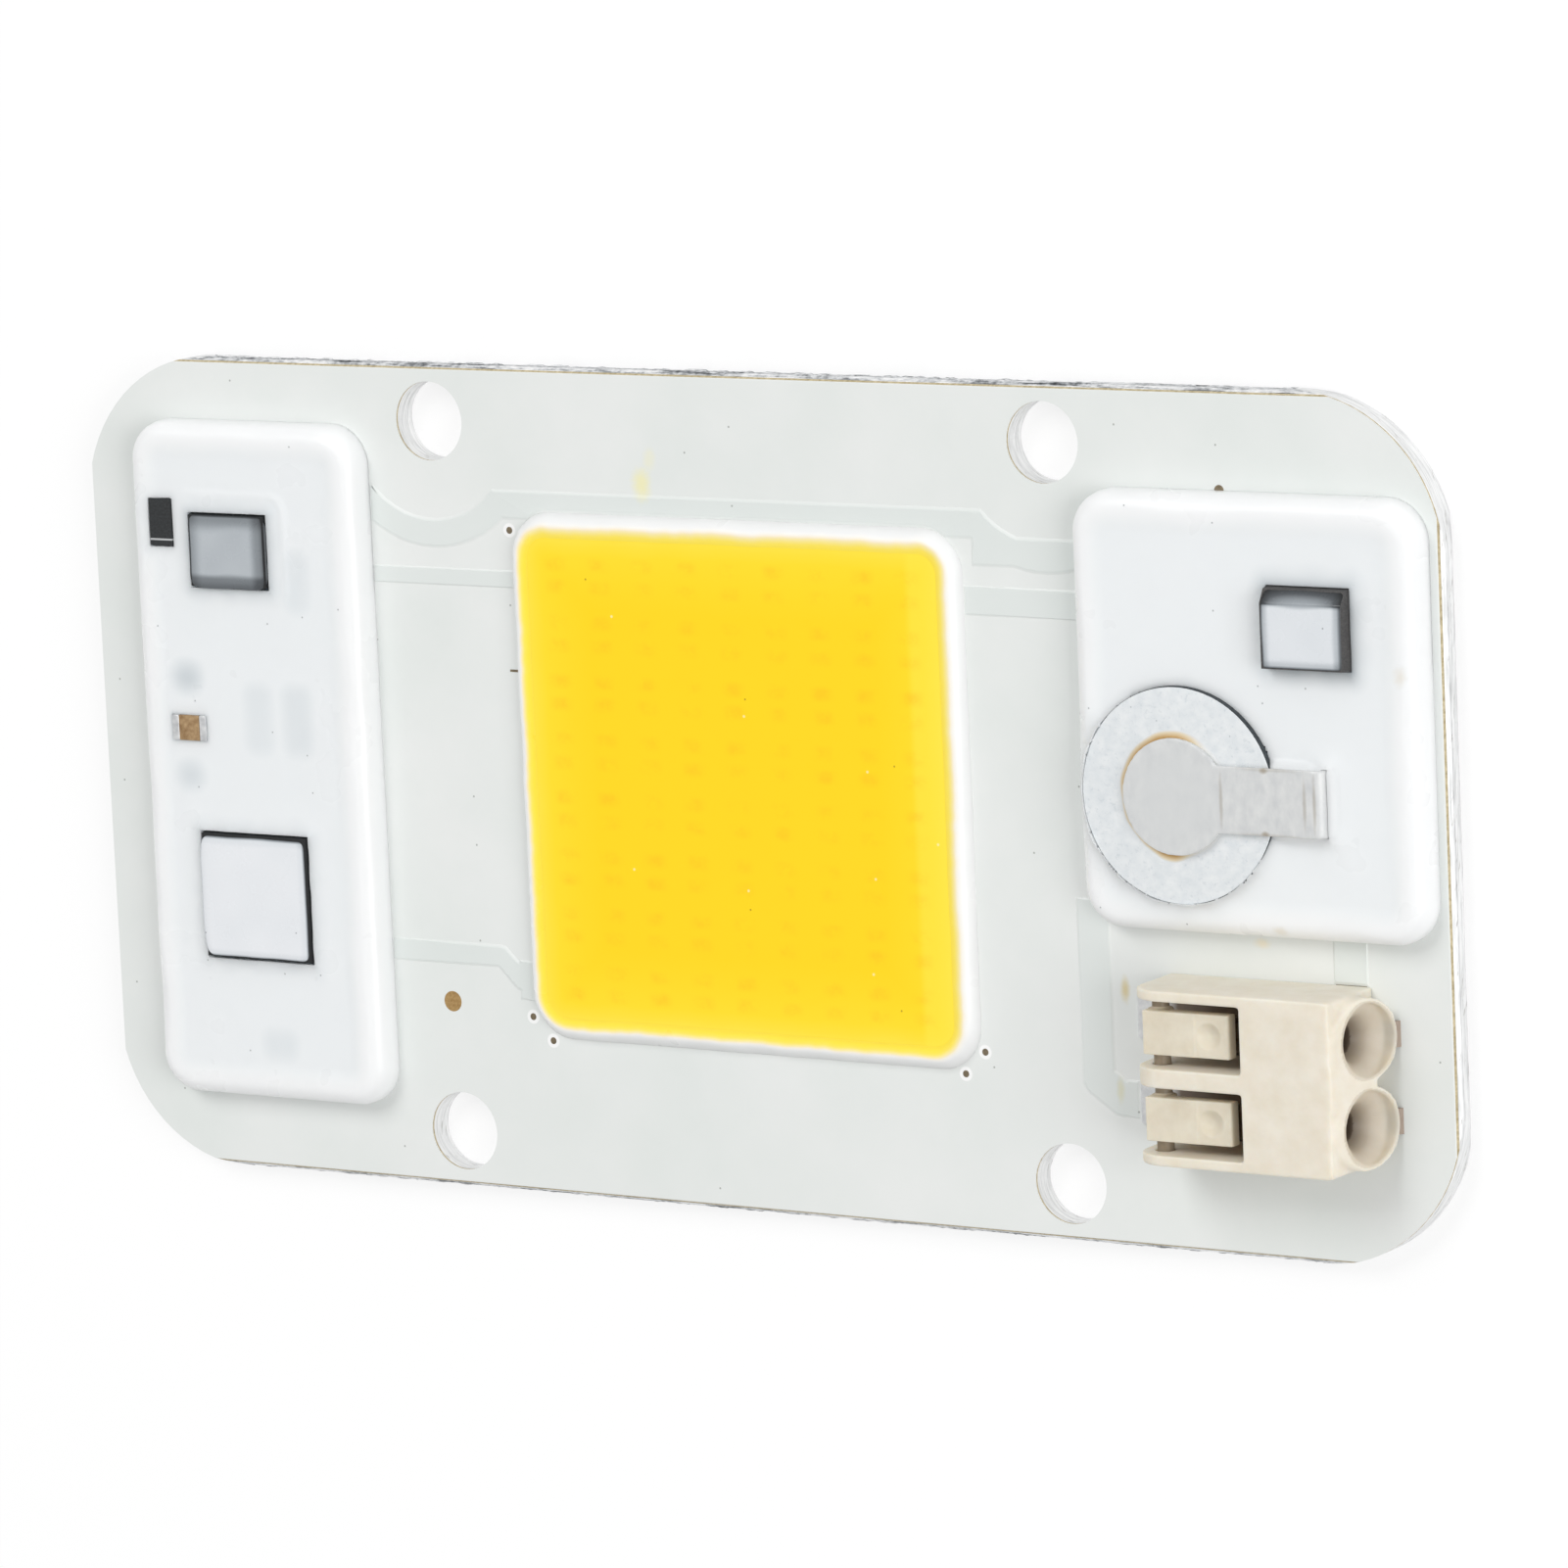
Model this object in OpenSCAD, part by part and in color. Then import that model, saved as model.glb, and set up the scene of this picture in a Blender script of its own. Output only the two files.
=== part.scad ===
// Mains light engine: a chip-on-board light field on an aluminium board with
// its own rectifier and driver under two potting blocks and a push-in terminal.
// Millimetres. The board's back lies on Z = 0, X runs along the board, Y across
// it, and the light field looks up along Z. The origin is the centre of the back.

/* [Board] */
// Length of the board
board_l = 75; // [74:0.5:84]
// Width of the board
board_w = 40; // [39.5:0.5:46]
// Corner radius of the board
board_r = 7.5; // [5:0.5:9]
// Thickness of the aluminium base
base_t = 1.2; // [0.8:0.1:2.5]
// Thickness of the insulating layer
dielectric_t = 0.1; // [0.06:0.02:0.2]
// Thickness of the copper foil
copper_t = 0.05; // [0.04:0.01:0.1]
// Setback of the scored edges at the board's faces
score_in = 0.3; // [0.1:0.05:0.4]
// Depth of the scored edges from each face
score_depth = 0.4; // [0.2:0.05:0.5]
// Height by which the mask stands up over the traces
mask_t = 0.05; // [0.03:0.01:0.1]

/* [Screw holes] */
// Diameter of the four screw holes
hole_d = 3.8; // [3:0.1:4.2]
// Hole spacing along the board
hole_dx = 34; // [33:0.5:35]
// Distance from the board's long edge to the middle of a hole
hole_edge = 2.75; // [2.5:0.05:3.2]
// Radius about each hole that stays free of copper
hole_clear = 4.75; // [4.5:0.05:5]

/* [Light field] */
// Length of the light field between the middles of the dam
led_l = 23.8; // [23:0.1:24.4]
// Width of the light field between the middles of the dam
led_w = 24.2; // [23.4:0.1:24.4]
// Offset of the light field from the board's middle
led_y = 0.4; // [0:0.1:0.6]
// Width of the dam at its foot
dam_w = 1.2; // [1:0.05:1.25]
// Height of the dam
dam_h = 0.7; // [0.65:0.05:0.9]
// Plan radius of the dam's corners along its middle
dam_r = 1.6; // [1.2:0.1:2.4]
// Depth of the phosphor gel
gel_h = 0.55; // [0.45:0.05:0.6]
// Columns of dies
die_columns = 9; // [6:1:9]
// Rows of die pairs
die_rows = 8; // [5:1:8]
// Distance from the dam's middle to the outer columns of dies
die_edge_x = 2.14; // [1.8:0.02:2.8]
// Distance from the dam's middle to the outer rows of die pairs
die_edge_y = 2.3; // [2:0.05:2.8]
// Spacing of the two dies of a pair
die_pair = 1.1; // [0.9:0.05:1.2]
// Length of a die
die_l = 1.1; // [0.8:0.05:1.2]
// Width of a die
die_w = 0.6; // [0.4:0.05:0.7]
// Thickness of a die
die_t = 0.15; // [0.1:0.01:0.2]
// Rise of a bond wire above the dies
wire_rise = 0.2; // [0.1:0.01:0.22]
// Thickness of a bond wire
wire_t = 0.05; // [0.03:0.005:0.06]

/* [Potting] */
// Height of both potting blocks
pot_h = 1.5; // [1.4:0.05:1.55]
// Plan radius of their corners
pot_r = 2; // [1.5:0.1:3]
// Radius of their upper edges
pot_edge = 0.8; // [0.4:0.1:1.2]
// Length of the left block along the board
left_pot_l = 13.4; // [13:0.1:13.6]
// Width of the left block across the board
left_pot_w = 33.2; // [32:0.1:33.4]
// Gap from the board's left edge to the left block
left_pot_gap = 3.45; // [3:0.05:3.8]
// Length of the right block along the board
right_pot_l = 17.9; // [17.6:0.1:18]
// Width of the right block across the board
right_pot_w = 20.2; // [20:0.1:20.4]
// Gap from the board's right edge to the right block
right_pot_gap = 0.65; // [0.4:0.05:0.8]

/* [Packages] */
// Height of the driver package above the board
driver_h = 1.75; // [1.6:0.05:2]
// Height of the power package above the board
power_h = 1.75; // [1.6:0.05:2]
// Height of the rectifier package above the board
rectifier_h = 2.3; // [2:0.05:2.6]
// Thickness of the package leads
lead_t = 0.2; // [0.15:0.01:0.25]
// Thickness of the silicone skins on the packages
coat_t = 0.06; // [0.04:0.01:0.1]

/* [Varistor] */
// Diameter of the varistor disc
varistor_d = 10; // [9:0.1:10.2]
// Height of the disc's upper face above the board
varistor_h = 1.8; // [1.65:0.05:2]
// Thickness of its silver electrodes
electrode_t = 0.05; // [0.03:0.01:0.08]
// Diameter of the strap's round head
strap_head_d = 5.4; // [4:0.1:6]
// Width of the strap's tab
strap_w = 3.1; // [2:0.1:3.4]
// Thickness of the strap
strap_t = 0.25; // [0.15:0.05:0.35]
// Reach of the strap from the disc's middle to its leg
strap_reach = 7.7; // [6.5:0.1:8]

/* [Terminal] */
// Length of the terminal housing
term_l = 11.85; // [11.6:0.05:12.5]
// Width of the terminal housing
term_w = 8.1; // [7.9:0.05:8.4]
// Height of the terminal housing
term_h = 4.2; // [4.1:0.05:4.6]
// Gap from the board's right edge to the wire end of the terminal
term_gap = 2.9; // [2.6:0.05:3.4]
// Spacing of the two poles
pole_pitch = 4; // [4:0.05:4.2]
// Diameter of the wire throat
throat_d = 1.3; // [1.1:0.05:1.5]
// Diameter of the wire funnel at its mouth
mouth_d = 3.1; // [2.8:0.05:3.2]
// Height of the wire axis above the board
wire_z = 2.05; // [2:0.01:2.2]
// Width of the key window of a pole
window_w = 3.1; // [3.05:0.05:3.2]
// Length of the key windows
window_l = 5.85; // [5.8:0.05:6]
// Width of a release key
key_w = 2.05; // [1.8:0.05:2.2]
// Length of a release key
key_l = 4.45; // [4.2:0.05:4.5]
// Thickness of a release key
key_t = 0.7; // [0.6:0.05:0.75]
// Diameter of the key's pivot studs
stud_d = 0.8; // [0.7:0.05:0.9]
// Running clearance of the pivot studs
stud_clear = 0.05; // [0.03:0.01:0.08]
// Thickness of the contact sheet
sheet_t = 0.25; // [0.2:0.01:0.3]

/* [Hidden] */
$fn = 48;

hole_dy = board_w - 2 * hole_edge;

// Levels of the stack
z_dielectric = base_t;
z_copper = z_dielectric + dielectric_t;
z_front = z_copper + copper_t;
// Cutters reach past a face by this much
past = 1;

// Potting blocks: their middles on the board
left_pot_y = 0.37;
right_pot_y = 5.25;
left_pot_at = [-board_l / 2 + left_pot_gap + left_pot_l / 2, left_pot_y];
right_pot_at = [board_l / 2 - right_pot_gap - right_pot_l / 2, right_pot_y];
left_pot_inner = left_pot_at[0] + left_pot_l / 2;
right_pot_inner = right_pot_at[0] - right_pot_l / 2;
right_pot_low = right_pot_at[1] - right_pot_w / 2;

// Components in the left block: distances from its corners, and from its middle
driver_in = [6, 6.17];
driver_at = left_pot_at + [-left_pot_l / 2 + driver_in[0], left_pot_w / 2 - driver_in[1]];
driver_size = [4.65, 3.7];
driver_pitch = 1.27;
driver_lead_w = 0.4;
driver_leads = 4;
power_in = [6.65, 10.1];
power_at = left_pot_at + [-left_pot_l / 2 + power_in[0], -left_pot_w / 2 + power_in[1]];
power_size = [6.4, 6.3];
power_pitch = 2.28;
power_lead_w = 0.75;
power_leads = 3;
diode_in = [1.95, 4.9];
diode_at = left_pot_at + [-left_pot_l / 2 + diode_in[0], left_pot_w / 2 - diode_in[1]];
diode_size = [1.4, 2.4];
diode_lead_w = 0.6;
column_in = 2.8;
column_x = -left_pot_l / 2 + column_in;
column_step = 2.35;
column_y = 1.65;
capacitor_out = 0.2;
capacitor_at = left_pot_at + [column_x + capacitor_out, column_y];
capacitor_size = [2, 1.25];
upper_resistor = [3.1, 9.2];
lower_resistor = [0.7, 13.8];
small_resistors_at = [
  left_pot_at + [column_x, column_y + column_step],
  left_pot_at + [column_x, column_y - column_step],
  left_pot_at + upper_resistor,
  left_pot_at + [lower_resistor[0], -lower_resistor[1]]
];
small_resistor_size = [2, 1.25];
large_resistor_x = 1.6;
large_resistor_y = 2.25;
large_resistor_gap = 0.7;
large_resistor_size = [1.6, 3.2];
large_resistor_step = (large_resistor_size[0] + large_resistor_gap) / 2;
large_resistors_at = [
  for (side = [-1, 1]) left_pot_at + [large_resistor_x + side * large_resistor_step, large_resistor_y]
];
resistor_h = 0.6;
cap_l = 0.4;
flush = 0.04;
small_part_h = pot_h + flush;

// Components in the right block: distances from its corners
rectifier_in = [5.45, 5.85];
rectifier_at = right_pot_at + [right_pot_l / 2 - rectifier_in[0], right_pot_w / 2 - rectifier_in[1]];
rectifier_size = [4.3, 3.8];
rectifier_bevel = [0.6, 0.45];
rectifier_pitch = 2.5;
rectifier_lead_w = 0.65;
rectifier_leads_on_side = 2;
varistor_in = [5.55, 6.45];
varistor_at = right_pot_at + [-right_pot_l / 2 + varistor_in[0], -right_pot_w / 2 + varistor_in[1]];
seat_gap = 0.1;
land_rim = 0.2;
lead_foot = 0.6;
lead_reach = 1.1;
lead_root = 0.3;
coat_edge = 0.15;

// Traces and bare copper
trace_w = 1.25;
overlap = 0.25;
trace_gap = -0.35;
trace_y = led_y + led_w / 2 + dam_w / 2 + trace_gap + trace_w / 2;
feed_rise = 9.4;
feed_y = led_y + feed_rise;
left_feed_w = 0.66;
right_feed_w = 1.19;
return_y = -8.5;
return_w = 0.92;
return_step = 1.1;
return_pad = [2.4, 1.75];
mains_w = 1.6;
mains_back = 2.45;
mains_jog = 0.2;
mains_turn = 1;
mask_wrap = 0.1;
led_pad_inset = 1;
fiducial_at = [-17.3, -10.9];
fiducial_d = 1;
dot_d = 0.34;
dot_out = 0.75;
dot_in = 0.35;
tick = [0.5, 0.12];
tick_rise = 5;
test_dot_in = 7.25;
test_dot_at = right_pot_at + [-right_pot_l / 2 + test_dot_in, right_pot_w / 2];

// Terminal: X of the wire end, of the key end and middle of its width
term_x1 = board_l / 2 - term_gap;
term_x0 = term_x1 - term_l;
term_y = -11;
pole_y = [term_y + pole_pitch / 2, term_y - pole_pitch / 2];
mains_x = term_x1 - mains_back;
end_lean = 1.36;
end_corner = 1.5;
lobe_r = 1.95;
lobe_l = 1.4;
web_z = 1.4;
funnel_l = 1.9;
mouth_l = 0.7;
window_x1 = term_x0 + window_l;
key_in = 0.55;
key_drop = 0.55;
key_x0 = term_x0 + key_in;
key_top = term_h - key_drop;
key_end_r = 0.12;
key_dip_r = 1.3;
key_dip_depth = 0.15;
key_dip_back = 1.05;
pivot_in = 0.5;
pivot_drop = 0.15;
pivot_x = key_x0 + pivot_in;
pivot_z = key_top - key_t - pivot_drop;
hub_r = 0.6;
stud_bite = 0.25;
strip_w = 2.1;
foot_out = 1.65;
tab_w = 1.2;
tab_out = -0.2;
cage_in = 0.1;
cage_back = 3;
cage_x0 = window_x1 + cage_in;
cage_x1 = term_x1 - cage_back;
cage_w = 2.6;
cage_h = 3.2;
cage_gap = 0.05;
spring_t = 0.2;
spring_w = 1.6;
spring_root = 0.8;
spring_drop = 0.15;
spring_tip = 1.3;
spring_back = 0.35;
spring_in = 0.2;
solder_l = 0.2;
solder_h = 0.2;

white = [0.96, 0.96, 0.95];
cream = [0.89, 0.85, 0.77];
tinned = [0.8, 0.81, 0.82];
black = [0.13, 0.13, 0.14];

// Outline with round corners
module rounded_rect(l, w, r) {
  square([l - 2 * r, w], center = true);
  square([l, w - 2 * r], center = true);
  for (x = [-1, 1], y = [-1, 1])
    translate([x * (l / 2 - r), y * (w / 2 - r)]) circle(r);
}

module hole_pattern(d) {
  for (x = [-1, 1], y = [-1, 1])
    translate([x * hole_dx / 2, y * hole_dy / 2]) circle(d = d);
}

module board_outline() {
  difference() {
    rounded_rect(board_l, board_w, board_r);
    hole_pattern(hole_d);
  }
}

// Half of an edge section carried round a rectangle: four straight runs and
// four quarter turns. The section lies outside the corner centres' rectangle.
module edge_run(l, w) {
  for (side = [0, 1], turn = [0, 180]) {
    run = side == 0 ? l : w;
    out = side == 0 ? w / 2 : l / 2;
    rotate(turn + side * 90)
      translate([run / 2, -out, 0])
        rotate([90, 0, -90])
          linear_extrude(run) children();
  }
  for (x = [-1, 1], y = [-1, 1])
    translate([x * l / 2, y * w / 2, 0])
      rotate(x > 0 ? (y > 0 ? 0 : 270) : (y > 0 ? 90 : 180))
        rotate_extrude(angle = 90) children();
}

// Block with round plan corners and a rounded upper edge
module soft_block(l, w, h, r, e) {
  core_l = l - 2 * r;
  core_w = w - 2 * r;
  translate([-core_l / 2, -core_w / 2, 0]) cube([core_l, core_w, h]);
  edge_run(core_l, core_w) {
    square([r, h - e]);
    square([r - e, h]);
    translate([r - e, h - e]) intersection() {
      circle(e);
      square(e);
    }
  }
}

// Path of straight runs with round joints, widened and lengthened by grow
module path(points, w, grow) {
  last = len(points) - 2;
  for (i = [0 : last]) {
    step = points[i + 1] - points[i];
    before = i == 0 ? grow : 0;
    after = i == last ? grow : 0;
    translate(points[i]) rotate(atan2(step[1], step[0]))
      translate([-before, -w / 2 - grow]) square([norm(step) + before + after, w + 2 * grow]);
  }
  for (i = [1 : last])
    translate(points[i]) circle(w / 2 + grow);
}

// Band that keeps clear of a screw hole, below the straight trace's upper edge
module hole_bypass(side, grow) {
  intersection() {
    translate([side * hole_dx / 2, hole_dy / 2]) difference() {
      circle(hole_clear + trace_w + grow);
      circle(hole_clear - grow);
    }
    translate([side * hole_dx / 2 - hole_dx / 4, 0])
      square([hole_dx / 2, trace_y + trace_w / 2 + grow]);
  }
}

// Traces, widened by grow for the mask that covers them
module traces(grow) {
  bypass_low = hole_dy / 2 - hole_clear - trace_w + overlap;
  hop = sqrt(max(0, pow(hole_clear, 2) - pow(hole_dy / 2 - trace_y - trace_w / 2, 2)));
  field_end = led_l / 2 - led_pad_inset - past;
  hole_bypass(-1, grow);
  hole_bypass(1, grow);
  translate([-hole_dx / 2 + hop + overlap, trace_y - trace_w / 2 - grow])
    square([hole_dx - 2 * hop - 2 * overlap, trace_w + 2 * grow]);
  translate([left_pot_inner - past, trace_y - trace_w / 2 - grow])
    square([-hole_dx / 2 - hop - overlap - left_pot_inner + past, trace_w + 2 * grow]);
  translate([led_l / 2 + dam_w - grow, bypass_low - grow])
    square([right_pot_inner + past - led_l / 2 - dam_w + grow, trace_w + 2 * grow]);
  translate([left_pot_inner - past, feed_y - left_feed_w / 2 - grow])
    square([-field_end - left_pot_inner + past, left_feed_w + 2 * grow]);
  translate([field_end, feed_y - right_feed_w / 2 - grow])
    square([right_pot_inner + past - field_end, right_feed_w + 2 * grow]);
  path([[left_pot_inner - past, return_y], [-led_l / 2 - return_pad[0], return_y],
    [-led_l / 2 - return_pad[0] + return_step, return_y - return_step], [-field_end, return_y - return_step]],
    return_w, grow);
  translate([-led_l / 2 - return_pad[0] / 2 + return_step, return_y - return_step])
    square(return_pad + [2 * grow, 2 * grow], center = true);
  path([[right_pot_inner - mains_jog, right_pot_low + past],
    [right_pot_inner - mains_jog, pole_y[1] + mains_w / 2], [right_pot_inner + mains_turn, pole_y[1]],
    [term_x0, pole_y[1]]], mains_w, grow);
  path([[mains_x, right_pot_low + past], [mains_x, pole_y[0]], [term_x1 - lobe_l / 2, pole_y[0]]],
    mains_w, grow);
}

// Bare copper that stays level with the mask: target, corner dots and tick
module bare_marks() {
  translate(fiducial_at) circle(d = fiducial_d);
  translate(test_dot_at) circle(d = fiducial_d / 2);
  for (x = [-1, 1], y = [-1, 1], swap = [0, 1])
    if (!(y > 0 && (x > 0 || swap == 1)))
      translate([x * (led_l / 2 + (swap == 0 ? dot_out : -dot_in)),
        led_y + y * (led_w / 2 + (swap == 0 ? -dot_in : dot_out))]) circle(d = dot_d);
  translate([-led_l / 2 - dam_w / 2 - tick[0], led_y + tick_rise - tick[1] / 2]) square(tick);
}

// Solder lands of the terminal's feet
module terminal_lands() {
  for (y = pole_y) {
    translate([term_x0 - foot_out - solder_l, y - strip_w / 2]) square([foot_out + solder_l, strip_w]);
    translate([term_x1 - past, y - tab_w / 2]) square([past + tab_out + solder_l, tab_w]);
  }
}

// Solder lands under the leads and end caps
module lead_lands(p, size, pitch, count, w) {
  out = size[1] / 2 + lead_reach - lead_foot / 2;
  for (side = [-1, 1], i = [0 : count - 1])
    translate(p + [(i - (count - 1) / 2) * pitch, side * out])
      square([w + land_rim, lead_foot + land_rim], center = true);
}

module chip_lands(p, size) {
  long_x = size[0] > size[1];
  out = (max(size) - cap_l) / 2;
  land = long_x ? [cap_l + land_rim, size[1]] : [size[0], cap_l + land_rim];
  for (side = [-1, 1])
    translate(p + (long_x ? [side * out, 0] : [0, side * out])) square(land, center = true);
}

module part_lands() {
  lead_lands(driver_at, driver_size, driver_pitch, driver_leads, driver_lead_w);
  lead_lands(power_at, power_size, power_pitch, power_leads, power_lead_w);
  lead_lands(diode_at, diode_size, 0, 1, diode_lead_w);
  lead_lands(rectifier_at, rectifier_size, rectifier_pitch, rectifier_leads_on_side, rectifier_lead_w);
  chip_lands(capacitor_at, capacitor_size);
  for (p = small_resistors_at) chip_lands(p, small_resistor_size);
  for (p = large_resistors_at) chip_lands(p, large_resistor_size);
  translate(varistor_at) circle(d = strap_head_d);
  translate(varistor_at + [strap_reach - strap_t / 2, 0])
    square([strap_t + 2 * land_rim, strap_w], center = true);
}

module copper_pattern() {
  difference() {
    union() {
      traces(0);
      part_lands();
      translate([0, led_y])
        rounded_rect(led_l - 2 * led_pad_inset, led_w - 2 * led_pad_inset, dam_r);
      bare_marks();
      terminal_lands();
    }
    hole_pattern(hole_d + 1);
  }
}

// Plan areas where parts stand straight on the level front
module stood_on() {
  translate(left_pot_at) rounded_rect(left_pot_l, left_pot_w, pot_r);
  translate(right_pot_at) rounded_rect(right_pot_l, right_pot_w, pot_r);
  translate([0, led_y]) rounded_rect(led_l + dam_w, led_w + dam_w, dam_r + dam_w / 2);
  translate([term_x0, term_y - term_w / 2]) square([term_l - lobe_l, term_w]);
  for (y = pole_y)
    translate([term_x1 - lobe_l - overlap, y - mains_w / 2 - mask_wrap])
      square([lobe_l + overlap, mains_w + 2 * mask_wrap]);
  terminal_lands();
}

// Board's section with its scored edges, carried along X or across it
module score_bar(w, l) {
  foot = w / 2 - score_in;
  rotate([90, 0, 90]) linear_extrude(l, center = true)
    polygon([[-foot, 0], [foot, 0], [w / 2, score_depth], [w / 2, z_front - score_depth], [foot, z_front],
      [foot, z_front + past], [-foot, z_front + past], [-foot, z_front], [-w / 2, z_front - score_depth],
      [-w / 2, score_depth]]);
}

// Leaves of the board only what the scored straight edges leave of it
module scored() {
  intersection() {
    children();
    score_bar(board_w, board_l + 2 * past);
    rotate(90) score_bar(board_l, board_w + 2 * past);
  }
}

module base_plate() {
  color("silver") scored() linear_extrude(base_t) board_outline();
}

module dielectric_layer() {
  color([0.7, 0.62, 0.45]) scored()
    translate([0, 0, z_dielectric]) linear_extrude(dielectric_t) board_outline();
}

module copper_layer() {
  color([0.82, 0.65, 0.38]) translate([0, 0, z_copper]) linear_extrude(copper_t) copper_pattern();
}

module solder_mask() {
  color([0.9, 0.91, 0.89]) {
    scored() translate([0, 0, z_copper]) linear_extrude(copper_t) difference() {
      board_outline();
      copper_pattern();
    }
    translate([0, 0, z_front]) linear_extrude(mask_t) difference() {
      traces(mask_wrap);
      stood_on();
      hole_pattern(hole_d + 1);
    }
  }
}

// Section of the dam, its middle on the section's axis offset
module dam_section(offset_x) {
  foot = dam_h - dam_w / 2;
  translate([offset_x - dam_w / 2, 0]) square([dam_w, foot]);
  intersection() {
    translate([offset_x, foot]) circle(d = dam_w);
    translate([offset_x - dam_w, foot]) square([2 * dam_w, dam_w]);
  }
}

module dam_ring() {
  translate([0, led_y, z_front])
    edge_run(led_l - 2 * dam_r, led_w - 2 * dam_r) dam_section(dam_r);
}

module silicone_dam() {
  color(white) dam_ring();
}

// Spacing of the die columns and of the rows of die pairs
die_dx = (led_l - 2 * die_edge_x) / (die_columns - 1);
die_dy = (led_w - 2 * die_edge_y) / (die_rows - 1);
// Every die's middle in plan
die_spots = [
  for (i = [0 : die_columns - 1], j = [0 : die_rows - 1], k = [-0.5, 0.5])
    [(i - (die_columns - 1) / 2) * die_dx, led_y + (j - (die_rows - 1) / 2) * die_dy + k * die_pair]
];
// Bond wires run from each die to the next one in its row
wire_spots = [for (p = die_spots) if (p[0] < (die_columns - 1) / 2 * die_dx - die_dx / 2) p];
wire_l = die_dx - die_l / 2;

module dies() {
  for (p = die_spots)
    translate([p[0] - die_l / 2, p[1] - die_w / 2, z_front]) cube([die_l, die_w, die_t]);
}

module wires() {
  run = wire_l / 4;
  for (p = wire_spots)
    translate([p[0] + die_l / 4, p[1] + wire_t / 2, z_front + die_t])
      rotate([90, 0, 0])
        linear_extrude(wire_t)
          polygon([[0, 0], [run, wire_rise], [wire_l - run, wire_rise], [wire_l, 0],
            [wire_l - 2 * wire_t, 0], [wire_l - run - wire_t, wire_rise - wire_t],
            [run + wire_t, wire_rise - wire_t], [2 * wire_t, 0]]);
}

module phosphor_gel() {
  color([1, 0.82, 0.16]) difference() {
    translate([0, led_y, z_front]) linear_extrude(gel_h) rounded_rect(led_l, led_w, dam_r);
    dam_ring();
    dies();
    wires();
  }
}

module led_dies() {
  color([0.75, 0.8, 0.9]) dies();
}

module bond_wires() {
  color("gold") wires();
}

// Moulded package with drafted flanks, its foot a seat gap above the board.
// A bevel, where there is one, cuts its upper edge on the +Y side.
module package(size, h, draft, bevel = [0, 0]) {
  body_h = h - seat_gap;
  half = body_h / 2;
  top_y = size[1] / 2 - draft;
  cut = bevel[0] > 0 ? [[top_y, body_h - bevel[1]], [top_y - bevel[0], body_h]] : [[top_y, body_h]];
  translate([0, 0, seat_gap]) {
    intersection() {
      rotate([90, 0, 0]) linear_extrude(size[1], center = true)
        polygon([[-size[0] / 2 + draft, 0], [size[0] / 2 - draft, 0], [size[0] / 2, half],
          [size[0] / 2 - draft, body_h], [-size[0] / 2 + draft, body_h], [-size[0] / 2, half]]);
      rotate([90, 0, 90]) linear_extrude(size[0], center = true)
        polygon(concat([[-top_y, 0], [top_y, 0], [size[1] / 2, half]], cut,
          [[-top_y, body_h], [-size[1] / 2, half]]));
    }
  }
}

// Gull-wing lead that leaves a flank at mid height towards +Y
module gull_lead(flank, mid, w) {
  knee = lead_reach - lead_foot;
  rotate([90, 0, 90]) linear_extrude(w, center = true)
    polygon([[flank - lead_root, mid - lead_t / 2], [flank + knee - lead_t, mid - lead_t / 2],
      [flank + knee - lead_t, 0], [flank + lead_reach, 0], [flank + lead_reach, lead_t],
      [flank + knee, lead_t], [flank + knee, mid + lead_t / 2], [flank - lead_root, mid + lead_t / 2]]);
}

// Two rows of leads, count on each side
module lead_rows(size, h, pitch, count, w) {
  mid = seat_gap + (h - seat_gap) / 2;
  for (turn = [0, 180], i = [0 : count - 1])
    rotate(turn) translate([(i - (count - 1) / 2) * pitch, 0, 0]) gull_lead(size[1] / 2, mid, w);
}

module at(p) {
  translate([p[0], p[1], z_front]) children();
}

package_draft = 0.12;

module driver_ic() {
  color(black) difference() {
    at(driver_at) package(driver_size, driver_h, package_draft);
    driver_ic_leads();
  }
}

module driver_ic_leads() {
  color(tinned) at(driver_at) lead_rows(driver_size, driver_h, driver_pitch, driver_leads, driver_lead_w);
}

module power_ic() {
  color(black) difference() {
    at(power_at) package(power_size, power_h, package_draft);
    power_ic_leads();
  }
}

module power_ic_leads() {
  color(tinned) at(power_at) lead_rows(power_size, power_h, power_pitch, power_leads, power_lead_w);
}

module bridge_rectifier() {
  color(black) difference() {
    at(rectifier_at) package(rectifier_size, rectifier_h, package_draft, rectifier_bevel);
    rectifier_leads();
  }
}

module rectifier_leads() {
  color(tinned) at(rectifier_at)
    lead_rows(rectifier_size, rectifier_h, rectifier_pitch, rectifier_leads_on_side, rectifier_lead_w);
}

module signal_diode() {
  color(black) difference() {
    at(diode_at) package(diode_size, small_part_h, package_draft / 2);
    diode_leads();
  }
}

module diode_leads() {
  color(tinned) at(diode_at) lead_rows(diode_size, small_part_h, 0, 1, diode_lead_w);
}

// Body of a chip part between its two end caps, along its longer side
module chip_body(size, h) {
  along = size[0] > size[1] ? [size[0] - 2 * cap_l, size[1]] : [size[0], size[1] - 2 * cap_l];
  translate([-along[0] / 2, -along[1] / 2, 0]) cube([along[0], along[1], h]);
}

module chip_caps(size, h) {
  long_x = size[0] > size[1];
  cap = long_x ? [cap_l, size[1]] : [size[0], cap_l];
  for (side = [-1, 1])
    translate([long_x ? side * (size[0] - cap_l) / 2 : 0, long_x ? 0 : side * (size[1] - cap_l) / 2, 0])
      translate([-cap[0] / 2, -cap[1] / 2, 0]) cube([cap[0], cap[1], h]);
}

module ceramic_capacitor() {
  color([0.6, 0.46, 0.3]) at(capacitor_at) chip_body(capacitor_size, small_part_h);
}

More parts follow.
